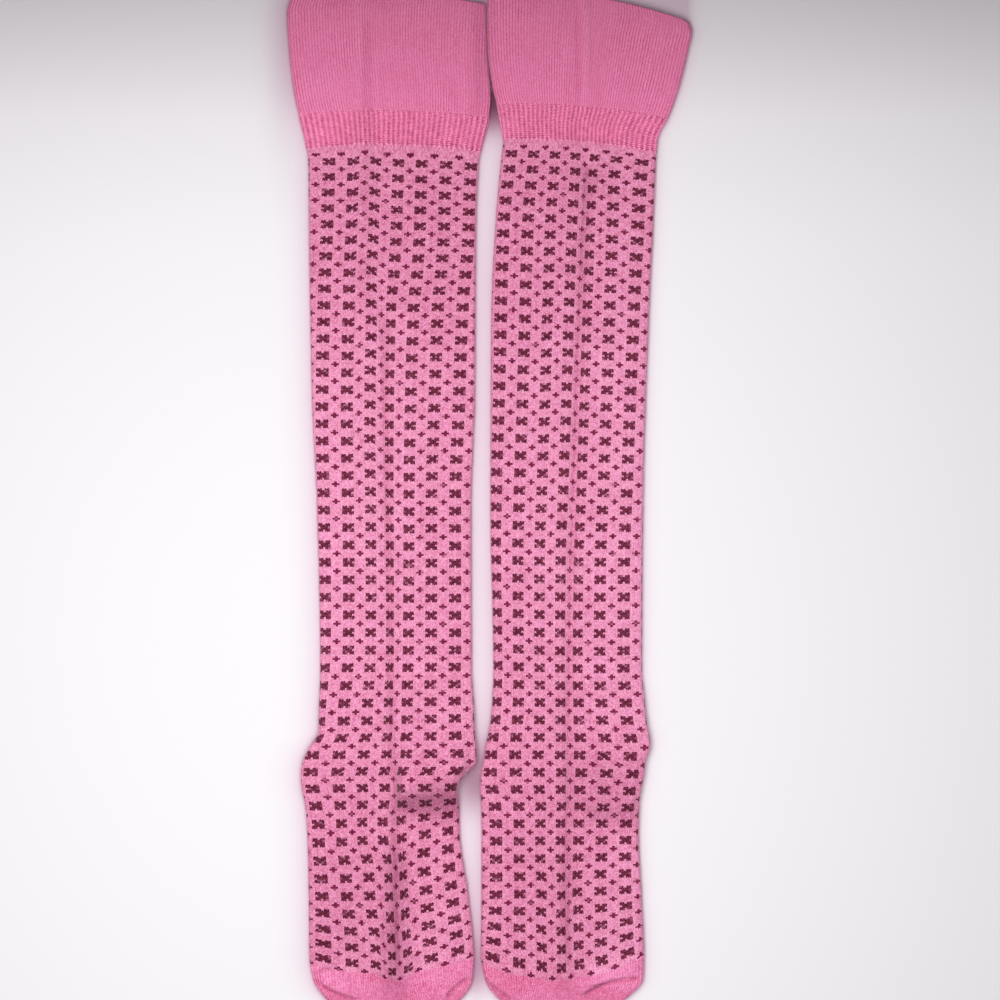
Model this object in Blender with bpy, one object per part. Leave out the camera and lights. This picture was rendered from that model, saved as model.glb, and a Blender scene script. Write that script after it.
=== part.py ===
"""A pair of knitted knee-high socks, laid flat side by side with the instep up.

Each sock is a hollow knitted tube that has been pressed flat: its front wall lies over its back wall, the
mouth of the cuff is open and the toe is closed. It is made of a double welt, a rib band, the leg with the
foot, a heel pouch that is folded flat under the ankle, and a toe cap. +Y runs from the toes to the cuffs,
+Z is up and +X is to the right, seen from above. The tables are in millimetres.
"""

import math
from collections import namedtuple

import bmesh
import bpy

MM = 0.001

# Cloth
WALL = 1.3
WELT_WALL = 1.9
SEAM_GAP = 0.3
LEAST_HOLLOW = 0.5
EDGE_DROP = 0.8
GROOVE_FADE = 14.0
LIP_ROUNDING = 0.7

# Knitting: a repeat is ten courses of the pattern, numbered down the front of the sock
REPEAT_LENGTH = 9.6
WELT_START = -19.2
BAND_START = -12.0
LEG_START = -9.8
HEEL_START = 22.5
HEEL_END = 30.5
TOE_SEAM = 38.6
TOE_HOLLOW_END = 41.1
TOE_END = 41.5

# The rib band
RIBS_ACROSS = 39
RIB_HEIGHT = 0.7

# Points round a section
TOP_POINTS_PER_SIDE = 9
TOP_CROWDING = 1.5
TURN_STEPS = 4
UNDERSIDE_STEPS = 5

# Repeats between one section and the next
CORNER_STEP = 0.45
WELT_STEP = 1.4
BAND_STEP = 0.8
LEG_STEP = 4.1
HEEL_STEP = 0.72
FOOT_STEP = 1.7
TOE_STEP = 0.5

# The heel pouch lies between the surface and the lifted leg
POUCH_GAP = 0.3
POUCH_LEAST_HEIGHT = 1.0
POUCH_ROUNDNESS = 2.6
POUCH_LEAST_SHARE = 0.16
POUCH_EDGE_INSET = 0.5
POUCH_ROUNDING = 0.6
POUCH_LAYER_NICK = 0.5
POUCH_STEPS_LONG = 13
POUCH_STEPS_ACROSS = 6

# Edge: where the left and right folds lie at a height y, how thick the flattened tube is there, and how
# far the heel pouch holds it off the surface.
Edge = namedtuple("Edge", "y left right height lift")

# Course: how one row of stitches runs across the front, by its y at the left fold, middle and right fold.
Course = namedtuple("Course", "repeat left middle right")

# Groove: a soft lengthwise trough in the front wall, by the y where it starts and ends and its x there
# and half way.
Groove = namedtuple("Groove", "name start end x_start x_middle x_end width depth")

# Shelf: the front wall standing up above the ankle. It rises over its reach down to y, falls off there in
# one step, and fades out towards its left and right ends.
Shelf = namedtuple("Shelf", "name y left right rise reach step fade_left fade_right")

Sock = namedtuple("Sock", "side edges courses grooves shelf")

LEFT = Sock(
    "left",
    (
        Edge(276.7, -109.3, -2.0, 5.4, 0.0),
        Edge(269.5, -111.2, -1.7, 5.8, 0.0),
        Edge(248.6, -110.1, -1.2, 5.8, 0.0),
        Edge(222.2, -106.8, 0.8, 5.6, 0.0),
        Edge(213.0, -104.5, 0.1, 5.3, 0.0),
        Edge(194.2, -100.3, -4.3, 4.9, 0.0),
        Edge(186.0, -99.4, -5.7, 4.8, 0.0),
        Edge(150.0, -99.1, -7.2, 4.8, 0.0),
        Edge(56.1, -97.4, -7.9, 4.8, 0.0),
        Edge(-1.7, -94.7, -9.8, 4.8, 0.0),
        Edge(-92.4, -92.9, -9.5, 4.8, 0.0),
        Edge(-111.7, -93.5, -8.4, 4.8, 1.5),
        Edge(-126.5, -93.8, -7.9, 4.9, 2.6),
        Edge(-134.2, -98.3, -7.2, 5.0, 2.8),
        Edge(-142.5, -102.4, -7.0, 5.0, 2.8),
        Edge(-150.2, -103.4, -14.0, 5.0, 2.8),
        Edge(-157.3, -102.9, -17.2, 4.9, 2.4),
        Edge(-166.7, -101.2, -16.5, 4.8, 0.8),
        Edge(-183.2, -100.0, -16.0, 4.8, 0.0),
        Edge(-216.2, -99.2, -11.4, 4.9, 0.0),
        Edge(-249.2, -98.9, -8.3, 5.2, 0.0),
        Edge(-262.9, -96.7, -9.1, 5.2, 0.0),
        Edge(-272.8, -90.4, -14.6, 5.0, 0.0),
        Edge(-279.4, -78.3, -26.6, 3.9, 0.0),
        Edge(-281.1, -68.4, -36.5, 2.2, 0.0),
    ),
    (
        Course(WELT_START, 276.7, 278.8, 273.4),
        Course(BAND_START, 213.4, 215.3, 211.8),
        Course(LEG_START, 194.7, 196.9, 193.3),
        Course(-9.5, 190.9, 190.9, 188.6),
        Course(-9.0, 187.1, 186.6, 184.2),
        Course(-5.0, 152.9, 152.1, 150.9),
        Course(0.0, 108.4, 107.4, 107.0),
        Course(10.0, 14.6, 14.3, 13.9),
        Course(20.0, -81.4, -81.4, -81.4),
        Course(24.0, -120.6, -119.6, -118.4),
        Course(27.0, -148.3, -147.6, -147.0),
        Course(29.0, -167.2, -166.1, -164.6),
        Course(30.0, -177.6, -175.3, -171.3),
        Course(34.0, -216.5, -215.8, -209.2),
        Course(36.0, -233.6, -235.6, -226.8),
        Course(38.0, -248.8, -253.8, -243.5),
        Course(TOE_SEAM, -254.4, -259.0, -250.4),
        Course(40.2, -269.5, -275.0, -266.8),
        Course(TOE_HOLLOW_END, -277.4, -279.2, -277.4),
        Course(TOE_END, -281.1, -281.4, -281.1),
    ),
    (
        Groove("shin", 275.0, 95.0, -68.2, -69.6, -70.2, 2.8, 0.6),
        Groove("leg", 125.0, -215.0, -57.0, -54.0, -50.5, 4.2, 1.2),
        Groove("toe", -165.0, -281.0, -49.0, -48.5, -48.8, 6.5, 1.0),
    ),
    Shelf("heel", -166.5, -38.0, -10.0, 2.4, 26.0, 3.4, 9.0, 6.0),
)

RIGHT = Sock(
    "right",
    (
        Edge(281.1, 0.2, 109.6, 5.4, 0.0),
        Edge(274.5, -0.9, 109.5, 5.7, 0.0),
        Edge(263.5, -1.0, 110.2, 5.8, 0.0),
        Edge(259.0, -0.9, 111.7, 5.8, 0.0),
        Edge(248.6, -0.5, 109.6, 5.8, 0.0),
        Edge(229.4, 1.8, 104.9, 5.7, 0.0),
        Edge(214.5, 5.4, 99.9, 5.4, 0.0),
        Edge(199.1, 7.8, 92.7, 4.9, 0.0),
        Edge(188.1, 6.7, 91.9, 4.8, 0.0),
        Edge(150.0, 3.4, 90.3, 4.8, 0.0),
        Edge(105.6, 1.4, 88.1, 4.8, 0.0),
        Edge(-1.7, 0.8, 84.7, 4.8, 0.0),
        Edge(-92.4, 2.4, 84.1, 4.8, 0.0),
        Edge(-108.9, 1.8, 85.5, 4.8, 1.6),
        Edge(-121.0, 0.8, 86.6, 4.8, 2.3),
        Edge(-133.7, -1.8, 88.7, 4.9, 2.8),
        Edge(-143.0, -3.2, 85.9, 5.0, 2.8),
        Edge(-150.2, -4.5, 85.1, 5.0, 2.8),
        Edge(-157.3, -4.8, 83.7, 4.9, 2.5),
        Edge(-166.7, -4.3, 82.6, 4.8, 1.2),
        Edge(-183.2, -4.1, 82.4, 4.8, 0.0),
        Edge(-216.2, -4.2, 83.9, 4.9, 0.0),
        Edge(-249.2, -4.4, 85.3, 5.2, 0.0),
        Edge(-262.9, -2.1, 84.7, 5.2, 0.0),
        Edge(-272.8, 4.7, 76.0, 5.0, 0.0),
        Edge(-279.4, 16.8, 63.8, 3.9, 0.0),
        Edge(-281.1, 26.7, 53.9, 2.2, 0.0),
    ),
    (
        Course(WELT_START, 281.1, 277.5, 263.5),
        Course(BAND_START, 218.9, 217.8, 211.2),
        Course(LEG_START, 200.0, 198.6, 192.8),
        Course(-9.5, 195.6, 193.8, 189.0),
        Course(-9.0, 191.7, 190.0, 186.0),
        Course(-5.0, 157.0, 154.8, 151.6),
        Course(0.0, 110.9, 108.9, 107.1),
        Course(10.0, 16.5, 15.1, 13.8),
        Course(17.0, -50.9, -52.4, -51.9),
        Course(20.0, -79.8, -82.0, -81.4),
        Course(24.0, -119.5, -119.7, -120.0),
        Course(27.0, -148.3, -148.4, -149.5),
        Course(31.0, -186.6, -186.2, -185.8),
        Course(34.0, -216.1, -214.8, -212.7),
        Course(36.0, -232.6, -234.3, -229.0),
        Course(38.0, -248.0, -254.6, -244.2),
        Course(TOE_SEAM, -254.0, -262.0, -249.8),
        Course(40.2, -269.5, -274.8, -268.4),
        Course(TOE_HOLLOW_END, -277.4, -279.2, -277.4),
        Course(TOE_END, -281.1, -281.4, -281.1),
    ),
    (
        Groove("cuff", 277.0, 215.0, 49.5, 49.5, 49.5, 2.4, 0.6),
        Groove("leg", 195.0, -230.0, 55.5, 46.5, 44.0, 3.6, 1.4),
        Groove("toe", -195.0, -281.0, 44.5, 43.8, 43.8, 5.5, 0.9),
    ),
    Shelf("heel", -172.0, 56.0, 80.0, 1.0, 22.0, 6.0, 9.0, 6.0),
)

PINK_PLAIN = (0.66, 0.165, 0.335, 1.0)
PINK_LEG = (0.80, 0.26, 0.46, 1.0)
KNIT_ROUGHNESS = 0.9


def curve_through(rows, by, column):
    """A smooth curve through a table's column, with no overshoot between its rows."""
    points = sorted((getattr(row, by), getattr(row, column)) for row in rows)
    spans = [b[0] - a[0] for a, b in zip(points, points[1:])]
    slopes = [(b[1] - a[1]) / span for a, b, span in zip(points, points[1:], spans)]
    tangents = [slopes[0]]
    for before, after in zip(slopes, slopes[1:]):
        tangents.append(0.0 if before * after <= 0 else 2 * before * after / (before + after))
    tangents.append(slopes[-1])

    def value(at):
        at = min(max(at, points[0][0]), points[-1][0])
        i = 0
        while i < len(spans) - 1 and at > points[i + 1][0]:
            i += 1
        t = (at - points[i][0]) / spans[i]
        low, high = points[i][1], points[i + 1][1]
        return (
            low * (1 + 2 * t) * (1 - t) ** 2
            + high * t * t * (3 - 2 * t)
            + spans[i] * (tangents[i] * t * (1 - t) ** 2 - tangents[i + 1] * t * t * (1 - t))
        )

    return value


def eased(t):
    t = min(max(t, 0.0), 1.0)
    return t * t * (3 - 2 * t)


def through_three(start, middle, end, t):
    """The parabola that takes these values at t = 0, 0.5 and 1."""
    return start * (1 - t) * (1 - 2 * t) + middle * 4 * t * (1 - t) + end * t * (2 * t - 1)


class Form:
    """Where the cloth of one sock lies."""

    def __init__(self, sock):
        self.sock = sock
        self.edge = {name: curve_through(sock.edges, "y", name) for name in Edge._fields[1:]}
        self.course = {name: curve_through(sock.courses, "repeat", name) for name in Course._fields[1:]}

    def span(self, repeat):
        """The two ends of a course: x and y at the left fold, then at the right fold."""
        y_left = self.course["left"](repeat)
        y_right = self.course["right"](repeat)
        return self.edge["left"](y_left), y_left, self.edge["right"](y_right), y_right

    def course_y(self, repeat, across):
        low, middle, high = (self.course[name](repeat) for name in ("left", "middle", "right"))
        return through_three(low, middle, high, across)

    def groove_x(self, groove, y):
        t = min(max((groove.start - y) / (groove.start - groove.end), 0.0), 1.0)
        return through_three(groove.x_start, groove.x_middle, groove.x_end, t)

    def main_groove_x(self, y):
        """The groove down the leg, carried on straight up through the cuff."""
        return self.groove_x(self.sock.grooves[1], y)

    def folds(self, x, y):
        """How far the front wall stands above its plain height."""
        z = 0.0
        for groove in self.sock.grooves:
            fade = eased((groove.start - y) / GROOVE_FADE) * eased((y - groove.end) / GROOVE_FADE)
            z -= groove.depth * fade * math.exp(-(((x - self.groove_x(groove, y)) / groove.width) ** 2))
        shelf = self.sock.shelf
        side = eased((x - shelf.left) / shelf.fade_left) * eased((shelf.right - x) / shelf.fade_right)
        fall = eased((y - shelf.y + shelf.step) / shelf.step)
        climb = eased((shelf.y + shelf.reach - y) / shelf.reach)
        return z + shelf.rise * side * fall * climb

    def top(self, x, y, across, wall):
        height = self.edge["height"](y) - EDGE_DROP * abs(2 * across - 1) ** 3 + self.folds(x, y)
        return self.edge["lift"](y) + max(height, 2 * wall + LEAST_HOLLOW)

    def top_fractions(self, repeat, ribs):
        """Where the points of the front wall lie, from the left fold to the right: close at the groove."""
        if ribs:
            return [i / (2 * ribs) for i in range(2 * ribs + 1)]
        x_left, _, x_right, _ = self.span(repeat)
        middle = (self.main_groove_x(self.course_y(repeat, 0.5)) - x_left) / (x_right - x_left)
        steps = [i / TOP_POINTS_PER_SIDE for i in range(TOP_POINTS_PER_SIDE + 1)]
        before = [middle * (1 - (1 - t) ** TOP_CROWDING) for t in steps]
        after = [middle + (1 - middle) * t**TOP_CROWDING for t in steps[1:]]
        return before + after

    def section(self, repeat, wall, inset, ribs=0, shift=0.0):
        """The closed outline of one course round the flattened tube, moved into the cloth by inset."""
        x_left, y_left, x_right, y_right = self.span(repeat)
        radius_left = (self.top(x_left, y_left, 0.0, wall) - self.edge["lift"](y_left)) / 2
        radius_right = (self.top(x_right, y_right, 1.0, wall) - self.edge["lift"](y_right)) / 2
        start, end = x_left + radius_left, x_right - radius_right
        points = []
        for i, fraction in enumerate(self.top_fractions(repeat, ribs)):
            x = start + (end - start) * fraction
            across = (x - x_left) / (x_right - x_left)
            y = self.course_y(repeat, across)
            z = self.top(x, y, across, wall) - inset
            if ribs and inset == 0:
                z += RIB_HEIGHT * (0.5 if i % 2 else -0.5)
            points.append((x, y + shift, z))
        points += self.turn(end, y_right, radius_right, inset, math.pi / 2, shift)
        for i in range(UNDERSIDE_STEPS + 1):
            x = end + (start - end) * i / UNDERSIDE_STEPS
            y = self.course_y(repeat, (x - x_left) / (x_right - x_left))
            points.append((x, y + shift, self.edge["lift"](y) + inset))
        points += self.turn(start, y_left, radius_left, inset, -math.pi / 2, shift)
        return points

    def turn(self, x, y, radius, inset, first_angle, shift):
        """The points between the front and back walls where the cloth turns round at a fold."""
        middle = self.edge["lift"](y) + radius
        points = []
        for i in range(1, TURN_STEPS):
            angle = first_angle - math.pi * i / TURN_STEPS
            reach = radius - inset
            points.append((x + reach * math.cos(angle), y + shift, middle + reach * math.sin(angle)))
        return points


def spread(start, end, longest):
    """Evenly spaced repeats from start to end, no further apart than longest."""
    steps = max(1, math.ceil((end - start) / longest - 1e-9))
    return [start + (end - start) * i / steps for i in range(steps + 1)]


def loft(name, rings, closed_start, closed_end):
    """A mesh through rings of points, closed round itself or with a face over an end."""
    mesh = bpy.data.meshes.new(name)
    shape = bmesh.new()
    loops = [[shape.verts.new((x * MM, y * MM, z * MM)) for x, y, z in ring] for ring in rings]
    pairs = list(zip(loops, loops[1:]))
    if not closed_start and not closed_end:
        pairs.append((loops[-1], loops[0]))
    for one, other in pairs:
        count = len(one)
        for i in range(count):
            j = (i + 1) % count
            shape.faces.new((one[i], one[j], other[j], other[i]))
    for ring, closed in ((loops[0], closed_start), (loops[-1], closed_end)):
        if closed:
            bmesh.ops.triangulate(shape, faces=[shape.faces.new(ring)])
    bmesh.ops.recalc_face_normals(shape, faces=shape.faces)
    shape.to_mesh(mesh)
    shape.free()
    return mesh


def place(name, mesh, material, collection):
    mesh.materials.append(material)
    mesh.shade_smooth()
    mesh.set_sharp_from_angle(angle=math.radians(50))
    piece = bpy.data.objects.new(name, mesh)
    collection.objects.link(piece)
    return piece


def knit(name, colour):
    material = bpy.data.materials.new(name)
    material.use_nodes = True
    finish = material.node_tree.nodes["Principled BSDF"]
    finish.inputs["Base Color"].default_value = colour
    finish.inputs["Roughness"].default_value = KNIT_ROUGHNESS
    finish.inputs["Metallic"].default_value = 0.0
    return material


def welt(form):
    """The double cuff: an open tube with a rounded lip at the mouth."""
    end = BAND_START - SEAM_GAP / REPEAT_LENGTH
    repeats = [WELT_START] + spread(WELT_START + CORNER_STEP, end, WELT_STEP)
    outer = [form.section(r, WELT_WALL, 0.0) for r in repeats]
    inner = [form.section(r, WELT_WALL, WELT_WALL) for r in repeats]
    lip = form.section(WELT_START, WELT_WALL, WELT_WALL / 2, shift=LIP_ROUNDING)
    return loft("welt", [lip] + outer + inner[::-1], False, False)


def rib_band(form):
    """The band of raised 1x1 ribs, plain inside."""
    repeats = spread(BAND_START, LEG_START - SEAM_GAP / REPEAT_LENGTH, BAND_STEP)
    outer = [form.section(r, WALL, 0.0, ribs=RIBS_ACROSS) for r in repeats]
    inner = [form.section(r, WALL, WALL, ribs=RIBS_ACROSS) for r in repeats]
    return loft("rib_band", outer + inner[::-1], False, False)


def leg(form):
    """The patterned tube from the rib band to the toe seam, lifted where it crosses the heel pouch."""
    repeats = spread(LEG_START, HEEL_START, LEG_STEP)
    repeats += spread(HEEL_START, HEEL_END, HEEL_STEP)[1:]
    repeats += spread(HEEL_END, TOE_SEAM - SEAM_GAP / REPEAT_LENGTH, FOOT_STEP)[1:]
    outer = [form.section(r, WALL, 0.0) for r in repeats]
    inner = [form.section(r, WALL, WALL) for r in repeats]
    return loft("leg", outer + inner[::-1], False, False)


def toe_cap(form):
    """The closed toe: the cloth runs down to the tip outside and back up to the seam inside."""
    repeats = spread(TOE_SEAM, TOE_HOLLOW_END, TOE_STEP)
    outer = [form.section(r, WALL, 0.0) for r in repeats + [TOE_END]]
    inner = [form.section(r, WALL, WALL) for r in repeats]
    return loft("toe_cap", outer[::-1] + inner, True, True)


def heel_pouch(form):
    """The heel pocket, folded flat under the ankle: one rounded solid with its layers nicked at the edge."""
    lifted = [row.y for row in form.sock.edges if row.lift >= POUCH_LEAST_HEIGHT + POUCH_GAP]
    high, low = max(lifted), min(lifted)
    side = (
        (0.0, POUCH_ROUNDING),
        (0.25, 0.0),
        (0.5, POUCH_LAYER_NICK),
        (0.75, 0.0),
        (1.0, POUCH_ROUNDING),
    )
    rings = []
    for i in range(POUCH_STEPS_LONG + 1):
        up = math.sin(math.pi / 2 * (1 - i / POUCH_STEPS_LONG))
        y = low + (high - low) * up
        height = form.edge["lift"](y) - POUCH_GAP
        widest = (form.edge["right"](y) - form.edge["left"](y)) / 2 - POUCH_EDGE_INSET
        middle = (form.edge["right"](y) + form.edge["left"](y)) / 2
        half = widest * max(1 - up**POUCH_ROUNDNESS, POUCH_LEAST_SHARE) ** (1 / POUCH_ROUNDNESS)
        ring = [(middle - half + inward, y, height * level) for level, inward in side]
        for k in range(1, POUCH_STEPS_ACROSS):
            ring.append((middle - half + 2 * half * k / POUCH_STEPS_ACROSS, y, height))
        ring += [(middle + half - inward, y, height * level) for level, inward in reversed(side)]
        rings.append(ring)
    return loft("heel_pouch", rings, True, True)


def clear_scene():
    for thing in list(bpy.data.objects):
        bpy.data.objects.remove(thing, do_unlink=True)


def main():
    clear_scene()
    collection = bpy.data.collections.new("knee_high_socks")
    bpy.context.scene.collection.children.link(collection)
    plain = knit("pink_plain_knit", PINK_PLAIN)
    patterned = knit("pink_patterned_knit", PINK_LEG)
    for sock in (LEFT, RIGHT):
        form = Form(sock)
        place(f"{sock.side}_welt", welt(form), plain, collection)
        place(f"{sock.side}_rib_band", rib_band(form), plain, collection)
        place(f"{sock.side}_leg", leg(form), patterned, collection)
        place(f"{sock.side}_heel_pouch", heel_pouch(form), patterned, collection)
        place(f"{sock.side}_toe_cap", toe_cap(form), plain, collection)


main()
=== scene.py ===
"""A pair of knitted knee-high socks, laid flat side by side on a pale table and seen from straight above.

Each sock is a knitted tube pressed flat. Its welt, rib band, leg, toe cap and folded heel pouch are shells
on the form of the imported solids, with their stitches in relief. +Y runs from the toes to the cuffs, +X is
to the right and +Z is up. The tables are in millimetres, and the meshes in metres.
"""

import math
from collections import namedtuple

import bpy
import numpy as np
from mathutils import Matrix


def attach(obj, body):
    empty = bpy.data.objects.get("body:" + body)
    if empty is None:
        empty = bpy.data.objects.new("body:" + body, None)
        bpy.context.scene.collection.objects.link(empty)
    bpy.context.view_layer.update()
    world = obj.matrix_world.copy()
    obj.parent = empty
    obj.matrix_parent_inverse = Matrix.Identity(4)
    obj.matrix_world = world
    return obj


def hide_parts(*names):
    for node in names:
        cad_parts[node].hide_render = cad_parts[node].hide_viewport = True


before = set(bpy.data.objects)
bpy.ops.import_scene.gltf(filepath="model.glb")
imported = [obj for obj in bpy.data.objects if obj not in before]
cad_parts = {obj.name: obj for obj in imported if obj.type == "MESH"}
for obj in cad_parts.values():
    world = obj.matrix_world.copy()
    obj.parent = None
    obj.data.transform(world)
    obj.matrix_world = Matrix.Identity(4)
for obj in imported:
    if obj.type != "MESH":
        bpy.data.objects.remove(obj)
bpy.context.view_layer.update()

MM = 0.001
BODY = "root"
PLAIN_SLOT = "plain_knit"
PATTERNED_SLOT = "patterned_knit"

# Cloth: the shells' walls are a little thinner than the solids'
WALL = 1.0
WELT_WALL = 1.5
LEAST_HOLLOW = 0.5
EDGE_DROP = 0.8
EDGE_ACROSS = 0.027
GROOVE_FADE = 14.0

# Knitting. A repeat of the pattern is ten wales wide and ten courses long, and fourteen go round the sock.
# Repeats are numbered down the front, and courses and wales are counted in stitches.
REPEAT_STITCHES = 10
WALES_ROUND = 140
FRONT_WALES = 80
WELT_START = -19.2
BAND_START = -12.0
LEG_START = -9.8
HEEL_START = 22.5
HEEL_END = 30.5
TOE_SEAM = 38.6
TOE_HOLLOW_END = 41.1
TOE_END = 41.5
FIRST_PATTERN_COURSE = -95
STITCH_SLANT = 0.5
STITCH_WOBBLE = 0.5
WOBBLE_SCALE = 650.0
KNIT_MAP = "Knit"

# Mesh: columns to a wale on the front and back, and repeats from one ring to the next
FRONT_COLUMNS = 4
BACK_COLUMNS = 2
OUTLINE_TOP = 240
OUTLINE_BOTTOM = 90
OUTLINE_TURN = 8
WELT_STEP = 0.13
BAND_STEP = 0.033
LEG_STEP = 0.34
HEEL_STEP = 0.15
FOOT_STEP = 0.22
TOE_STEP = 0.07
INSIDE_STEP = 1.1
INSIDE_TOE_STEP = 0.35

# Where one knitted stretch tucks under the next, so that no gap shows between them
TUCK_LENGTH = 0.07
TUCK_DEPTH = 0.35

# The round lip of the mouth, by angles down from its front, and how the toe's last rings close at its tip
LIP_ANGLES = (72, 50, 25, 0, -25, -50)
TipRing = namedtuple("TipRing", "share forward")
TOE_TIP = (TipRing(0.75, 0.35), TipRing(0.4, 0.6), TipRing(0.12, 0.7))

# The heel pouch lies under the ankle where that is lifted this far. Its edge shows two layers with a nick
# between them: how far in the edge of the lower layer lies, by its share of the pouch's height.
POUCH_LEAST_LIFT = 1.3
POUCH_GAP = 0.3
POUCH_INSET = 0.5
POUCH_ROUNDNESS = 2.6
POUCH_LEAST_SHARE = 0.16
POUCH_COLUMNS = 16
POUCH_ROWS = 40
WALE_WIDTH = 1.31
COURSE_LENGTH = 0.96
PouchEdge = namedtuple("PouchEdge", "level inward")
POUCH_LAYER = (PouchEdge(0.0, 0.6), PouchEdge(0.12, 0.2), PouchEdge(0.25, 0.0), PouchEdge(0.4, 0.25))
POUCH_NICK = PouchEdge(0.5, 0.7)

# Edge: where the left and right folds lie at y, how thick the flattened tube is there, and how far the heel
# pouch holds it off the surface.
Edge = namedtuple("Edge", "y left right height lift", defaults=(4.8, 0.0))

# Course: how one row of stitches runs across the front, by its y at the left fold, middle and right fold.
Course = namedtuple("Course", "repeat left middle right")

# Wales: which column of the pattern, counted in repeats, lies on the left fold and on the right fold. In
# between, lean shifts the wales to one side, crowd draws them apart at the sides and together at the
# middle, and ripple does so three times across. These are in wales.
Wales = namedtuple("Wales", "repeat first last lean crowd ripple", defaults=(0.0,))

# Groove: a soft lengthwise trough in the front wall, by the y where it starts and ends and its x there and
# half way. Its wales lie closer together by the share in crowding, and its trough has painted shade, darker
# by the share in shade.
Groove = namedtuple("Groove", "name start end x_start x_middle x_end width depth crowding shade")

# Shelf: the front wall standing up above the ankle. It rises over its reach down to the top of a step,
# falls off from there to the foot, and fades out towards its left and right ends. Down its step the knit
# has painted shade, darker by the share in shade.
Shelf = namedtuple("Shelf", "name left right top_left top_right foot_left foot_right rise reach fade shade")

# Crease: a sharp short fold along the curve through three points, with a bank that stands up beside it, on
# the left as the curve runs. The trough has painted shade, darker by the share in shade, and the bank a
# painted highlight, lighter by the share in light.
Crease = namedtuple("Crease", "name x_1 y_1 x_2 y_2 x_3 y_3 width depth bank reach shade light")

# Swell: a broad, low rise or dip of the front wall round a point. The knit there is painted lighter by the
# share in light, or painted darker where that is below 0: painted light and shade.
Swell = namedtuple("Swell", "name x y width length rise light", defaults=(0.0,))

# Pull: where the courses are drawn up or down round a point, such as along a fold.
Pull = namedtuple("Pull", "name x y width length rise")

# Shadow: a painted shadow on the table, a soft dark place where a fold or both cuffs keep the light out.
Shadow = namedtuple("Shadow", "name x y width length strength")

Sock = namedtuple("Sock", "side edges courses wales grooves shelf creases swells pulls")

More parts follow.
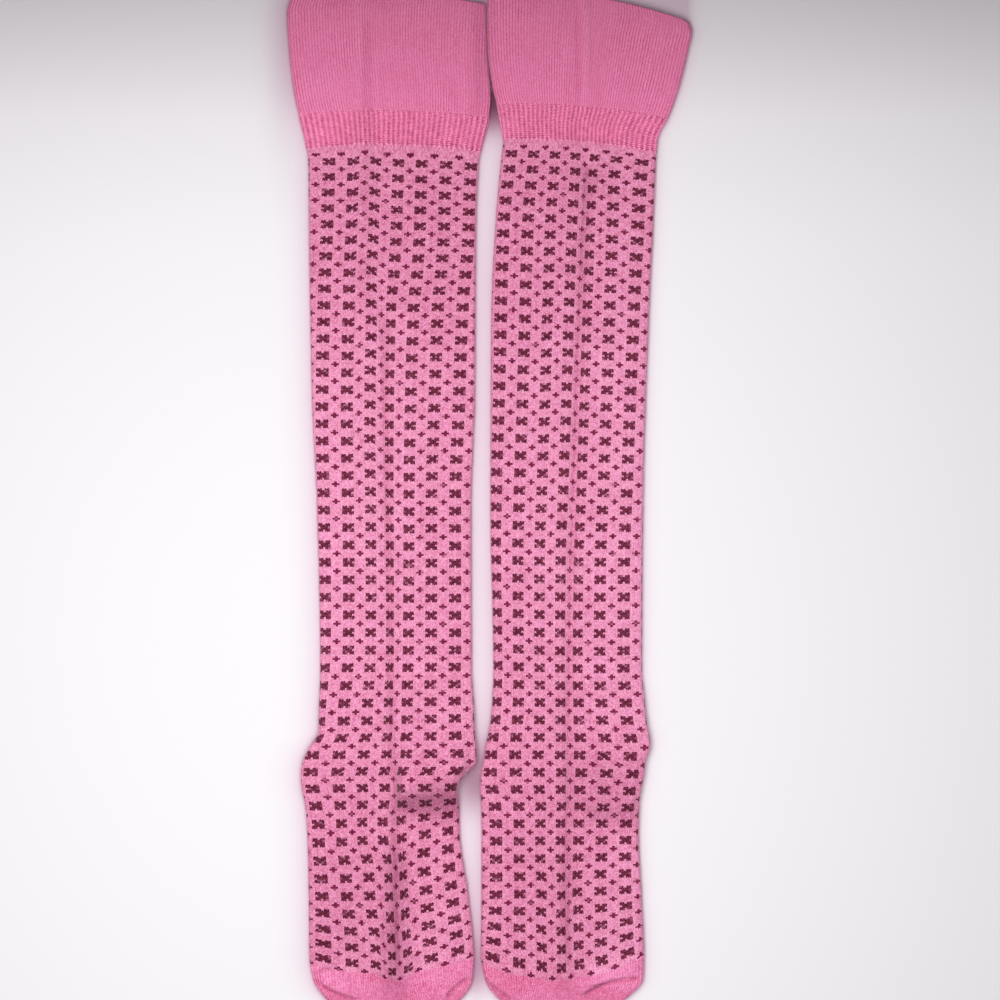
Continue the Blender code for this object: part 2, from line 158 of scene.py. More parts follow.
LEFT = Sock(
    "left",
    (
        Edge(276.7, -109.3, -2.0, 5.4),
        Edge(269.5, -111.2, -1.7, 5.8),
        Edge(248.6, -110.1, -1.2, 5.8),
        Edge(222.2, -106.8, 0.8, 5.6),
        Edge(213.0, -104.5, 0.1, 5.3),
        Edge(194.2, -100.3, -4.3, 4.9),
        Edge(186.0, -99.4, -5.7),
        Edge(150.0, -99.1, -7.2),
        Edge(56.1, -97.4, -7.9),
        Edge(-1.7, -94.7, -9.8),
        Edge(-92.4, -92.9, -9.5),
        Edge(-111.7, -93.5, -8.4, 4.8, 1.5),
        Edge(-126.5, -93.8, -7.9, 4.9, 2.6),
        Edge(-134.2, -98.3, -7.2, 5.0, 2.8),
        Edge(-142.5, -102.4, -7.0, 5.0, 2.8),
        Edge(-150.2, -103.4, -14.0, 5.0, 2.8),
        Edge(-157.3, -102.9, -17.2, 4.9, 2.4),
        Edge(-166.7, -101.2, -16.5, 4.8, 0.8),
        Edge(-183.2, -100.0, -16.0),
        Edge(-216.2, -99.2, -11.4, 4.9),
        Edge(-249.2, -98.9, -8.3, 5.2),
        Edge(-262.9, -96.7, -9.1, 5.2),
        Edge(-272.8, -90.4, -14.6, 5.0),
        Edge(-279.4, -78.3, -26.6, 3.9),
        Edge(-281.1, -68.4, -36.5, 2.2),
    ),
    (
        Course(WELT_START, 276.7, 278.8, 273.4),
        Course(BAND_START, 213.4, 215.3, 211.8),
        Course(LEG_START, 194.7, 196.9, 193.3),
        Course(-9.5, 190.9, 190.9, 188.6),
        Course(-9.0, 187.1, 186.6, 184.2),
        Course(-5.0, 152.9, 152.1, 150.9),
        Course(0.0, 108.4, 107.4, 107.0),
        Course(10.0, 14.6, 14.3, 13.9),
        Course(20.0, -81.4, -81.4, -81.4),
        Course(24.0, -120.6, -119.6, -118.4),
        Course(27.0, -148.3, -147.6, -147.0),
        Course(29.0, -167.2, -166.1, -164.6),
        Course(30.0, -177.6, -175.3, -171.3),
        Course(34.0, -216.5, -215.8, -209.2),
        Course(36.0, -233.6, -235.6, -226.8),
        Course(38.0, -248.8, -253.8, -243.5),
        Course(TOE_SEAM, -254.4, -259.0, -250.4),
        Course(40.2, -269.5, -275.0, -266.8),
        Course(TOE_HOLLOW_END, -277.4, -279.2, -277.4),
        Course(TOE_END, -281.1, -281.4, -281.1),
    ),
    (
        Wales(WELT_START, 0.08, 7.18, -0.2, -0.5),
        Wales(BAND_START, 0.06, 7.40, -0.2, -0.5),
        Wales(-9.0, 0.11, 7.39, -0.2, -0.6, -0.1),
        Wales(-5.0, 0.20, 7.38, -0.2, -0.5, -0.1),
        Wales(0.0, 0.37, 7.60, -0.2, -0.5, -0.1),
        Wales(5.0, 0.51, 7.71, -0.2, -0.6, -0.1),
        Wales(10.0, 0.63, 7.75, -0.3, -0.8, -0.1),
        Wales(15.0, 0.67, 7.76, 0.0, -0.9, -0.2),
        Wales(20.0, 0.73, 7.76, 0.4, -0.9, -0.2),
        Wales(24.0, 0.89, 7.88, 0.2, -0.6, -0.2),
        Wales(25.0, 0.89, 7.87, 0.2, -0.7, -0.2),
        Wales(26.0, 0.67, 7.84, -0.2, -0.9, -0.2),
        Wales(26.5, 0.57, 7.83, 0.6, -1.0, -0.3),
        Wales(27.0, 0.58, 7.72, 0.7, -1.1, -0.4),
        Wales(27.5, 0.56, 7.55, 0.5, -1.1, -0.4),
        Wales(28.0, 0.54, 7.42, 0.2, -1.0, -0.4),
        Wales(29.0, 0.52, 7.49, 0.0, -0.7, -0.5),
        Wales(30.0, 0.47, 7.62, 0.2, -0.7, -0.7),
        Wales(32.0, 0.46, 7.68, 0.3, 0.0, -0.7),
        Wales(34.0, 0.43, 7.76, 0.2, -0.5, -0.6),
        Wales(38.0, 0.48, 7.76, -0.8, -1.2, -0.7),
        Wales(TOE_END, 0.48, 7.75, -0.8, -1.2, -0.7),
    ),
    (
        Groove("shin", 275.0, 95.0, -66.8, -66.8, -68.4, 2.8, 0.7, 0.1, 0.07),
        Groove("leg", 125.0, -215.0, -57.0, -54.0, -50.5, 4.2, 1.2, 0.25, 0.0),
        Groove("leg line", 110.0, -262.0, -58.0, -54.3, -50.3, 1.6, 0.8, 0.0, 0.18),
        Groove("toe", -185.0, -281.0, -50.0, -51.0, -51.5, 7.5, 1.6, 0.6, 0.20),
    ),
    Shelf("heel", -54.0, -9.0, -160.5, -150.0, -170.5, -171.0, 5.0, 26.0, 7.0, 0.38),
    (
        Crease("toe hook", -82.0, -256.5, -91.0, -257.0, -93.8, -262.4, 1.3, 0.9, 0.6, 5.0, 0.30, 0.10),
        Crease("left gore", -93.8, -262.4, -87.5, -268.4, -72.0, -273.8, 1.3, 1.3, 0.9, 6.0, 0.35, 0.12),
        Crease("right gore", -24.0, -274.0, -18.7, -266.8, -9.5, -261.0, 1.2, 1.2, 0.7, 5.0, 0.30, 0.05),
        Crease("ankle tuck", -8.0, -142.0, -12.0, -147.0, -20.0, -149.5, 1.3, 0.6, 0.7, 2.5, 0.15, 0.05),
    ),
    (
        Swell("cuff side", -1.0, 245.0, 9.0, 42.0, -1.6),
        Swell("beside the other cuff", -3.5, 248.0, 5.0, 36.0, 0.0, -0.14),
        Swell("cuff ridge", -71.5, 250.0, 3.0, 55.0, 0.7, 0.06),
        Swell("cuff outside", -92.0, 215.0, 14.0, 22.0, 0.3, 0.05),
        Swell("calf", -54.0, -12.0, 60.0, 122.0, 0.0, 0.14),
        Swell("calf outside", -80.0, -20.0, 15.0, 130.0, 0.5, 0.02),
        Swell("calf edge", -95.0, -30.0, 6.0, 90.0, 0.0, 0.06),
        Swell("calf inside", -28.0, 20.0, 14.0, 180.0, 0.4, -0.05),
        Swell("above the heel", -22.0, -119.0, 12.0, 14.0, 0.6, 0.07),
        Swell("foot of the step", -32.0, -174.0, 22.0, 5.0, -0.9),
        Swell("foot", -30.0, -215.0, 16.0, 40.0, 0.0, 0.05),
        Swell("toe side", -28.0, -262.0, 17.0, 14.0, 0.5, 0.04),
        Swell("toe outside", -84.0, -263.0, 14.0, 9.0, 0.4, 0.12),
        Swell("foot outside", -84.0, -222.0, 16.0, 34.0, 0.0, -0.05),
    ),
    (
        Pull("shin", -67.6, 100.0, 6.0, 108.0, 1.8),
        Pull("calf", -43.5, 40.0, 9.0, 120.0, -0.6),
        Pull("foot fold", -53.4, -215.0, 7.0, 45.0, -1.4),
        Pull("toe fold", -50.0, -250.0, 9.0, 24.0, -4.0),
    ),
)

RIGHT = Sock(
    "right",
    (
        Edge(281.1, 0.2, 109.6, 5.4),
        Edge(274.5, -0.9, 109.5, 5.7),
        Edge(263.5, -1.0, 110.2, 5.8),
        Edge(259.0, -0.9, 111.7, 5.8),
        Edge(248.6, -0.5, 109.6, 5.8),
        Edge(229.4, 1.8, 104.9, 5.7),
        Edge(214.5, 5.4, 99.9, 5.4),
        Edge(199.1, 7.8, 92.7, 4.9),
        Edge(188.1, 6.7, 91.9),
        Edge(150.0, 3.4, 90.3),
        Edge(105.6, 1.4, 88.1),
        Edge(-1.7, 0.8, 84.7),
        Edge(-92.4, 2.4, 84.1),
        Edge(-108.9, 1.8, 85.5, 4.8, 1.6),
        Edge(-121.0, 0.8, 86.6, 4.8, 2.3),
        Edge(-133.7, -1.8, 88.7, 4.9, 2.8),
        Edge(-143.0, -3.2, 85.9, 5.0, 2.8),
        Edge(-150.2, -4.5, 85.1, 5.0, 2.8),
        Edge(-157.3, -4.8, 83.7, 4.9, 2.5),
        Edge(-166.7, -4.3, 82.6, 4.8, 1.2),
        Edge(-183.2, -4.1, 82.4),
        Edge(-216.2, -4.2, 83.9, 4.9),
        Edge(-249.2, -4.4, 85.3, 5.2),
        Edge(-262.9, -2.1, 84.7, 5.2),
        Edge(-272.8, 4.7, 76.0, 5.0),
        Edge(-279.4, 16.8, 63.8, 3.9),
        Edge(-281.1, 26.7, 53.9, 2.2),
    ),
    (
        Course(WELT_START, 281.1, 277.5, 263.5),
        Course(BAND_START, 218.9, 217.8, 211.2),
        Course(LEG_START, 200.0, 198.6, 192.8),
        Course(-9.5, 195.6, 193.8, 189.0),
        Course(-9.0, 191.7, 190.0, 186.0),
        Course(-5.0, 157.0, 154.8, 151.6),
        Course(0.0, 110.9, 108.9, 107.1),
        Course(10.0, 16.5, 15.1, 13.8),
        Course(17.0, -50.9, -52.4, -51.9),
        Course(20.0, -79.8, -82.0, -81.4),
        Course(24.0, -119.5, -119.7, -120.0),
        Course(27.0, -148.3, -148.4, -149.5),
        Course(31.0, -186.6, -186.2, -185.8),
        Course(34.0, -216.1, -214.8, -212.7),
        Course(36.0, -232.6, -234.3, -229.0),
        Course(38.0, -248.0, -254.6, -244.2),
        Course(TOE_SEAM, -254.0, -262.0, -249.8),
        Course(40.2, -269.5, -274.8, -268.4),
        Course(TOE_HOLLOW_END, -277.4, -279.2, -277.4),
        Course(TOE_END, -281.1, -281.4, -281.1),
    ),
    (
        Wales(WELT_START, 0.47, 7.60, 0.5, -0.6),
        Wales(BAND_START, 0.42, 7.55, 1.5, -1.2, 0.1),
        Wales(-9.0, 0.51, 7.59, 1.8, -1.4, 0.1),
        Wales(-5.0, 0.59, 7.66, 0.9, -1.1),
        Wales(0.0, 0.55, 7.72, 0.1, -0.9, -0.2),
        Wales(5.0, 0.57, 7.74, 0.1, -0.7, -0.1),
        Wales(10.0, 0.66, 7.78, 0.1, -0.6, -0.1),
        Wales(15.0, 0.72, 7.86, 0.9, -0.6, -0.1),
        Wales(20.0, 0.73, 7.84, 1.6, -0.6, -0.1),
        Wales(24.0, 0.74, 7.86, 1.4, -0.6, -0.2),
        Wales(25.7, 0.66, 7.79, 1.3, -0.6, -0.2),
        Wales(27.0, 0.58, 7.57, 0.6, -0.8, -0.3),
        Wales(29.0, 0.37, 7.61, 0.4, -0.9, -0.3),
        Wales(31.0, 0.33, 7.66, 0.4, -0.9, -0.4),
        Wales(34.0, 0.35, 7.75, 0.5, -0.9, -0.4),
        Wales(38.0, 0.52, 7.72, 0.1, -2.3, -0.2),
        Wales(TOE_END, 0.56, 7.61, 0.1, -2.3, -0.2),
    ),
    (
        Groove("cuff", 277.0, 215.0, 49.5, 49.5, 49.5, 2.0, 0.9, 0.1, 0.06),
        Groove("leg", 195.0, -230.0, 55.5, 46.0, 43.5, 3.6, 1.2, 0.22, 0.0),
        Groove("leg line", 192.0, -262.0, 55.0, 46.0, 43.5, 1.8, 0.9, 0.0, 0.14),
        Groove("toe", -195.0, -281.0, 44.5, 43.8, 43.8, 5.5, 0.9, 0.2, 0.06),
    ),
    Shelf("heel", 50.0, 83.0, -167.0, -165.5, -175.0, -175.5, 1.8, 24.0, 6.0, 0.10),
    (
        Crease("right gore", 50.0, -272.5, 66.0, -264.0, 85.5, -262.3, 1.4, 1.6, 1.3, 7.0, 0.40, 0.14),
        Crease("left gore", -3.6, -260.5, 3.5, -267.5, 13.0, -274.0, 1.3, 0.9, 0.5, 5.0, 0.20, 0.04),
        Crease("ankle tuck", 88.0, -140.5, 83.0, -145.0, 82.0, -157.0, 1.3, 0.9, 0.0, 4.0, 0.12, 0.0),
    ),
    (
        Swell("cuff side", 0.0, 245.0, 9.0, 42.0, -1.6),
        Swell("cuff ridge", 53.0, 255.0, 3.0, 40.0, 0.7, 0.07),
        Swell("beside the other cuff", 0.0, 250.0, 5.0, 34.0, 0.0, -0.06),
        Swell("calf", 46.0, -12.0, 60.0, 124.0, 0.0, 0.13),
        Swell("calf inside", 10.0, 0.0, 12.0, 170.0, 0.4, -0.03),
        Swell("calf outside", 74.0, 0.0, 14.0, 180.0, 0.5, 0.05),
        Swell("calf edge", 87.0, -40.0, 6.0, 90.0, 0.0, 0.05),
        Swell("below the band", 58.0, 178.0, 12.0, 9.0, -0.5, -0.08),
        Swell("heel", 64.0, -154.0, 20.0, 22.0, 0.0, -0.12),
        Swell("foot outside", 72.0, -222.0, 16.0, 34.0, 0.3, 0.08),
        Swell("toe side", 70.0, -258.5, 18.0, 7.5, 0.9, 0.16),
    ),
    (
        Pull("calf", 40.0, 60.0, 8.0, 100.0, 1.1),
        Pull("foot", 38.0, -225.0, 8.0, 28.0, -1.7),
        Pull("toe fold", 38.0, -255.0, 8.0, 12.0, -1.0),
    ),
)

SHADOWS = (
    Shadow("under both cuffs", 2.0, 222.0, 9.0, 14.0, 1.35),
    Shadow("under the left heel", -9.0, -153.0, 9.0, 15.0, 0.62),
    Shadow("between the toes", -7.0, -258.0, 5.0, 14.0, 0.30),
    Shadow("beside the left cuff", -113.0, 250.0, 9.0, 50.0, 0.12),
)

# Colours, in linear light
GROUND_PINK = (0.82, 0.27, 0.455)
PLAIN_PINK = (0.84, 0.215, 0.415)
BLOSSOM_MAROON = (0.230, 0.032, 0.070)
BLOSSOM_DARK = (0.055, 0.001, 0.014)
CROSS_WINE = (0.270, 0.018, 0.080)
CROSS_DARK = (0.110, 0.001, 0.028)
FLOOR_WHITE = (0.90, 0.89, 0.90)
# The table's colour at its far edge, where it has painted shade
FLOOR_FAR_PAINTED_SHADE = (0.80, 0.77, 0.79)
FIBRE_PINK = (0.95, 0.45, 0.62)
# The pale of the loose fibres, also used for the painted light on the knit's side folds
FIBRE_PALE_AND_PAINTED_RIM_LIGHT = (0.98, 0.62, 0.76)
CARD_BLACK = (0.02, 0.02, 0.02)
SOFTBOX_COLOUR = (1.0, 0.985, 0.995)
FILL_COLOUR = (0.98, 0.96, 1.0)

# The shares in which the yarn's own unevenness, and the painted shade of the folds, change green and blue.
# Each yarn has its own share for its red, and the painted shade of the folds takes all of it.
GREEN_SHARES = (1.40, 1.2)
BLUE_SHARES = (1.10, 1.08)
RED_PAINTED_SHADE_SHARE = 1.0

# The motifs of the pattern, in stitches from the middle of one
BLOSSOM_HALF = 2.52
NOTCH_ACROSS = 0.42
NOTCH_DOWN = 0.45
NOTCH_START = 1.5
CROSS_HALF = 0.60
CROSS_REACH = 1.6

# Patches in the yarn, in metres: small and large clouds, and where the lines between wales show more
SMALL_CLOUD = 0.0030
LARGE_CLOUD = 0.0110
LINE_PATCH = 0.0160

# Loose fibres. They stand where the cloth looks up at least this much, and thickest at the side folds.
FIBRES_TO_A_SQUARE_METRE = 45000.0
FIBRES_AT_THE_FOLDS = 2000000.0
FIBRE_LENGTH = 1.3
FIBRE_RADIUS = 0.028
FIBRE_SEED = 11
FIBRE_LEAST_UPWARD = 0.05
FOLD_MOST_UPWARD = 0.6

# The camera's frame is 550 mm wide at the socks, and looks straight down
PHOTO_CENTRE = (6.05, 1.1)
FIELD_WIDTH = 550.0
CAMERA_HEIGHT = 1500.0
FOCUS_HEIGHT = 4.0
SENSOR_WIDTH = 36.0

# The table and the light, in metres. The table is painted darker towards its far edge, between two y, as
# painted shade. The painted shade round a sock reaches these millimetres to the left and right of it,
# builds up between the two, and takes these shares of red, green and blue; the painted shadows take the
# last shares.
TABLE_REACH = 4.0
TABLE_TOP = -0.0002
TABLE_GRID_ACROSS = (150.0, 1.5)
TABLE_GRID_ALONG = (300.0, 4.0)
TABLE_PAINTED_SHADE_FROM = 0.13
TABLE_PAINTED_SHADE_TO = 0.30
SHADE_REACH_LEFT = 6.0
SHADE_REACH_RIGHT = 2.6
SHADE_BETWEEN = 1.0
SHADE_TAKES = (0.20, 0.40, 0.27)
SHADOW_TAKES = (1.0, 1.60, 1.32)
SOFTBOX_PLACE = (-0.093, -0.045, 0.8)
SOFTBOX_SIZE = (0.591, 1.022)
SOFTBOX_WATTS = 7.6
FILL_STRENGTH = 0.24
CARD_EDGE = 0.279
CARD_WIDTH = 1.5
CARD_HEIGHT = 0.21


# ---------------------------------------------------------------- the form of a sock


def curve_through(rows, by, column):
    """A smooth curve through a table's column, with no overshoot between its rows."""
    at, values = np.array(sorted((getattr(row, by), getattr(row, column)) for row in rows)).T
    spans = np.diff(at)
    slopes = np.diff(values) / spans
    product = slopes[:-1] * slopes[1:]
    total = np.where(product > 0, slopes[:-1] + slopes[1:], 1.0)
    inner = np.where(product > 0, 2 * product / total, 0.0)
    tangents = np.concatenate(([slopes[0]], inner, [slopes[-1]]))

    def value(x):
        x = np.clip(x, at[0], at[-1])
        i = np.clip(np.searchsorted(at, x) - 1, 0, len(spans) - 1)
        t = (x - at[i]) / spans[i]
        return (
            values[i] * (1 + 2 * t) * (1 - t) ** 2
            + values[i + 1] * t * t * (3 - 2 * t)
            + spans[i] * (tangents[i] * t * (1 - t) ** 2 - tangents[i + 1] * t * t * (1 - t))
        )

    return value


def eased(t):
    t = np.clip(t, 0.0, 1.0)
    return t * t * (3 - 2 * t)


def bell(t):
    return np.exp(-t * t)


def through_three(start, middle, end, t):
    """The parabola that takes these values at t = 0, 0.5 and 1."""
    return start * (1 - t) * (1 - 2 * t) + middle * 4 * t * (1 - t) + end * t * (2 * t - 1)


def swell_profile(swell, x, y):
    """1 over the middle of a swell, falling off to 0 round it."""
    return bell(((x - swell.x) / swell.width) ** 2) * bell(((y - swell.y) / swell.length) ** 2)


def crease_parts(crease, x, y):
    """How deep in a crease's sharp trough a point is, and how high on the bank beside it, from 0 to 1."""
    steps = np.linspace(0.0, 1.0, 25)
    line_x = through_three(crease.x_1, crease.x_2, crease.x_3, steps)
    line_y = through_three(crease.y_1, crease.y_2, crease.y_3, steps)
    reach = 3 * crease.reach
    near = (x > line_x.min() - reach) & (x < line_x.max() + reach)
    near &= (y > line_y.min() - reach) & (y < line_y.max() + reach)
    trough, bank = np.zeros_like(x), np.zeros_like(x)
    if not near.any():
        return trough, bank
    away_x = x[near][:, None] - line_x
    away_y = y[near][:, None] - line_y
    distances = np.hypot(away_x, away_y)
    closest = distances.argmin(axis=1)
    rows = np.arange(len(closest))
    distance = distances[rows, closest]
    along_x = np.gradient(line_x)[closest]
    along_y = np.gradient(line_y)[closest]
    side = along_x * away_y[rows, closest] - along_y * away_x[rows, closest]
    fade = 1 - np.abs(2 * steps[closest] - 1) ** 6
    trough[near] = fade * bell(distance / crease.width)
    bank[near] = fade * (side > 0) * eased(distance / crease.width) * bell(distance / crease.reach)
    return trough, bank


class Form:
    """Where the cloth of one sock lies."""

    def __init__(self, sock):
        self.sock = sock
        self.edge = {name: curve_through(sock.edges, "y", name) for name in Edge._fields[1:]}
        self.course = {name: curve_through(sock.courses, "repeat", name) for name in Course._fields[1:]}
        self.wale = {name: curve_through(sock.wales, "repeat", name) for name in Wales._fields[1:]}

    def course_y(self, repeat, across):
        low, middle, high = (self.course[name](repeat) for name in ("left", "middle", "right"))
        return through_three(low, middle, high, across)

    def groove_bell(self, groove, x, y):
        t = np.clip((groove.start - y) / (groove.start - groove.end), 0.0, 1.0)
        middle = through_three(groove.x_start, groove.x_middle, groove.x_end, t)
        fade = eased((groove.start - y) / GROOVE_FADE) * eased((y - groove.end) / GROOVE_FADE)
        return fade * bell((x - middle) / groove.width)

    def folds(self, x, y):
        """How far the front wall stands above its plain height."""
        z = -sum(groove.depth * self.groove_bell(groove, x, y) for groove in self.sock.grooves)
        shelf = self.sock.shelf
        side, down, top = self.shelf_place(x, y)
        climb = eased((top + shelf.reach - y) / shelf.reach)
        z = z + shelf.rise * side * eased(1 - down) * climb
        z = z + sum(swell.rise * swell_profile(swell, x, y) for swell in self.sock.swells)
        for crease in self.sock.creases:
            trough, bank = crease_parts(crease, x, y)
            z = z + crease.bank * bank - crease.depth * trough
        return z

    def shelf_place(self, x, y):
        """How much of the shelf stands at x, how far down its step a point is, and y at the step's top."""
        shelf = self.sock.shelf
        side = eased((x - shelf.left) / shelf.fade) * eased((shelf.right - x) / shelf.fade)
        share = np.clip((x - shelf.left) / (shelf.right - shelf.left), 0.0, 1.0)
        top = shelf.top_left + (shelf.top_right - shelf.top_left) * share
        foot = shelf.foot_left + (shelf.foot_right - shelf.foot_left) * share
        return side, (top - y) / (top - foot), top

    def lightness(self, x, y):
        """The painted light and shade along the folds: how much lighter or darker than its yarn the front
        of the knit is coloured.
        """
        side, down, _ = self.shelf_place(x, y)
        light = -self.sock.shelf.shade * side * bell(1.6 * (down - 0.6))
        light = light - sum(groove.shade * self.groove_bell(groove, x, y) for groove in self.sock.grooves)
        light = light + sum(swell.light * swell_profile(swell, x, y) for swell in self.sock.swells)
        for crease in self.sock.creases:
            trough, bank = crease_parts(crease, x, y)
            light = light + crease.light * bank - crease.shade * trough
        return light

    def crowding(self, x, y):
        """How much closer together the wales lie than elsewhere on the course."""
        return 1 + sum(groove.crowding * self.groove_bell(groove, x, y) for groove in self.sock.grooves)

    def top(self, x, y, across, wall):
        height = self.edge["height"](y) - EDGE_DROP * np.abs(2 * across - 1) ** 3 + self.folds(x, y)
        return self.edge["lift"](y) + np.maximum(height, 2 * wall + LEAST_HOLLOW)

    def outline(self, repeats, wall, inset):
        """The upper and lower halves of each course's outline, round from its left fold."""
        repeats = repeats[:, None]
        y_left, y_right = self.course["left"](repeats), self.course["right"](repeats)
        x_left, x_right = self.edge["left"](y_left), self.edge["right"](y_right)
        lift_left, lift_right = self.edge["lift"](y_left), self.edge["lift"](y_right)
        across = np.full_like(x_left, EDGE_ACROSS)
        radius_left = (self.top(x_left, y_left, across, wall) - lift_left) / 2
        radius_right = (self.top(x_right, y_right, across, wall) - lift_right) / 2
        start, end = x_left + radius_left, x_right - radius_right

        def turn(x, y, lift, radius, first_angle, last_angle):
            angles = np.linspace(first_angle, last_angle, OUTLINE_TURN + 1)[None, :]
            reach = radius - inset
            return x + reach * np.cos(angles), y + 0 * angles, lift + radius + reach * np.sin(angles)

        def wall_across(fractions, on_top):
            x = start + (end - start) * fractions[None, :]
            share = (x - x_left) / (x_right - x_left)
            y = self.course_y(repeats, share)
            y = y + sum(pull.rise * swell_profile(pull, x, y) for pull in self.sock.pulls)
            if on_top:
                return x, y, self.top(x, y, share, wall) - inset
            return x, y, self.edge["lift"](y) + inset

        quarter = math.pi / 2
        front = np.linspace(0.0, 1.0, OUTLINE_TOP + 1)[1:-1]
        back = np.linspace(1.0, 0.0, OUTLINE_BOTTOM + 1)[1:-1]
        upper = (
            turn(start, y_left, lift_left, radius_left, 2 * quarter, quarter),
            wall_across(front, True),
            turn(end, y_right, lift_right, radius_right, quarter, 0.0),
        )
        lower = (
            turn(end, y_right, lift_right, radius_right, 0.0, -quarter),
            wall_across(back, False),
            turn(start, y_left, lift_left, radius_left, -quarter, -2 * quarter),
        )
        return [
            np.stack([np.concatenate(axis, axis=1) for axis in zip(*stretches)], axis=2)
            for stretches in (upper, lower)
        ]

    def rings(self, repeats, wales, wall, inset):
        """Points of the cloth where each wale crosses each course."""
        repeats = np.asarray(repeats, float)
        upper, lower = self.outline(repeats, wall, inset)
        first = REPEAT_STITCHES * self.wale["first"](repeats)
        last = REPEAT_STITCHES * self.wale["last"](repeats)
        lean, crowd, ripple = (self.wale[name](repeats) for name in ("lean", "crowd", "ripple"))
        points = np.empty((len(repeats), len(wales), 3))
        for i in range(len(repeats)):
            counts = []
            for path, low, high in (
                (upper[i], first[i], last[i]),
                (lower[i], last[i], first[i] + WALES_ROUND),
            ):
                middles = (path[1:] + path[:-1]) / 2
                steps = np.linalg.norm(np.diff(path, axis=0), axis=1)
                steps *= self.crowding(middles[:, 0], middles[:, 1])
                walked = np.concatenate(([0.0], np.cumsum(steps)))
                counts.append(low + (high - low) * walked / walked[-1])
            share = math.pi * (counts[0] - first[i]) / (last[i] - first[i])
            for times, shift in enumerate((lean[i], crowd[i], ripple[i]), start=1):
                counts[0] += shift * np.sin(times * share)
            at = (wales - first[i]) % WALES_ROUND + first[i]
            path = np.concatenate((upper[i], lower[i]))
            for axis in range(3):
                points[i, :, axis] = np.interp(at, np.concatenate(counts), path[:, axis])
        return points


# ---------------------------------------------------------------- meshes


def spread(start, end, longest):
    """Evenly spaced repeats from start to end, no further apart than longest."""
    return list(np.linspace(start, end, max(1, math.ceil((end - start) / longest - 1e-9)) + 1))


def wale_columns():
    """The wales that the outer wall's columns of points follow, close on the front and wide on the back."""
    front = np.arange(FRONT_WALES * FRONT_COLUMNS) / FRONT_COLUMNS
    back = FRONT_WALES + np.arange((WALES_ROUND - FRONT_WALES) * BACK_COLUMNS) / BACK_COLUMNS
    return np.concatenate((front, back))


COLUMNS = wale_columns()
WHOLE_WALES = np.flatnonzero(COLUMNS == np.floor(COLUMNS))


class Shell:
    """Collects the rings and faces of a knitted tube."""

    def __init__(self, form):
        self.form = form
        self.points = []
        self.wales = []
        self.courses = []
        self.outside = []
        self.faces = []
        self.count = 0

    def ring(self, points, wales, course, outside):
        """Adds one ring of points and gives their numbers."""
        self.points.append(points)
        self.wales.append(wales)
        self.courses.append(np.full(len(points), float(course)))
        self.outside.append(np.full(len(points), float(outside)))
        numbers = np.arange(self.count, self.count + len(points))
        self.count += len(points)
        return numbers

    def rows(self, stack, wales, repeats, outside):
        return [
            self.ring(points, wales, REPEAT_STITCHES * repeat, outside)
            for points, repeat in zip(stack, repeats)
        ]

    def walls(self, outer_repeats, inner_repeats, wall, tucks=(0.0, 0.0), before=()):
        """A close-stitched outer wall and a plain inner wall. The outer wall's first and last rings are let
        down by the tucks, and it goes on from the rings before it."""
        depths = np.zeros(len(outer_repeats))
        depths[0], depths[-1] = tucks
        outer = tucked(self.form.rings(outer_repeats, COLUMNS, wall, 0.0), depths)
        inner = self.form.rings(inner_repeats, COLUMNS[WHOLE_WALES], wall, wall)
        outer_rings = self.rows(outer, COLUMNS, outer_repeats, 1.0)
        inner_rings = self.rows(inner, COLUMNS[WHOLE_WALES], inner_repeats, 0.0)
        self.bands(list(before) + outer_rings)
        self.bands(inner_rings[::-1])
        return outer, outer_rings, inner_rings

    def band(self, one, other):
        """Faces between two rings of as many points."""
        after_one, after_other = np.roll(one, -1), np.roll(other, -1)
        self.faces += np.stack((one, other, after_other, after_one), axis=1).tolist()

    def bands(self, rings):
        for one, other in zip(rings, rings[1:]):
            self.band(one, other)

    def rim(self, fine, coarse, fine_first):
        """Faces between the outer wall's ring of close points and the inner wall's ring of whole wales."""
        starts = WHOLE_WALES
        ends = np.append(WHOLE_WALES[1:], len(fine))
        for i, (start, end) in enumerate(zip(starts, ends)):
            outer = [int(fine[j % len(fine)]) for j in range(start, end + 1)]
            inner = [int(coarse[(i + 1) % len(coarse)]), int(coarse[i])]
            face = outer + inner
            self.faces.append(face if fine_first else face[::-1])

    def cap(self, ring, reverse):
        face = ring.tolist()
        self.faces.append(face[::-1] if reverse else face)

    def mesh(self, name):
        """The mesh, with the wale and course of each point kept in attributes and in the knit's map."""
        mesh = bpy.data.meshes.new(name)
        mesh.from_pydata((np.concatenate(self.points) * MM).tolist(), [], self.faces)
        wales = np.concatenate(self.wales)
        courses = np.concatenate(self.courses)
        place = np.concatenate(self.points)
        for attribute, values in (
            ("wale", wales),
            ("course", courses),
            ("outside", np.concatenate(self.outside)),
            # the painted light and shade of the folds
            ("lightness", self.form.lightness(place[:, 0], place[:, 1])),
        ):
            keep(mesh, attribute, values)
        corners = np.empty(len(mesh.loops), np.int32)
        mesh.loops.foreach_get("vertex_index", corners)
        first_corners = np.empty(len(mesh.polygons), np.int32)
        mesh.polygons.foreach_get("loop_start", first_corners)
        corner_wales = wales[corners]
        sizes = np.diff(np.append(first_corners, len(corners)))
        widest = np.repeat(np.maximum.reduceat(corner_wales, first_corners), sizes)
        past_the_end = widest - corner_wales > WALES_ROUND / 2
        corner_wales = np.where(past_the_end, corner_wales + WALES_ROUND, corner_wales)
        knit_map = mesh.uv_layers.new(name=KNIT_MAP)
        places = np.stack((corner_wales, courses[corners]), axis=1) + 0.5
        knit_map.data.foreach_set("uv", places.astype(np.float32).ravel())
        mesh.shade_smooth()
        return mesh


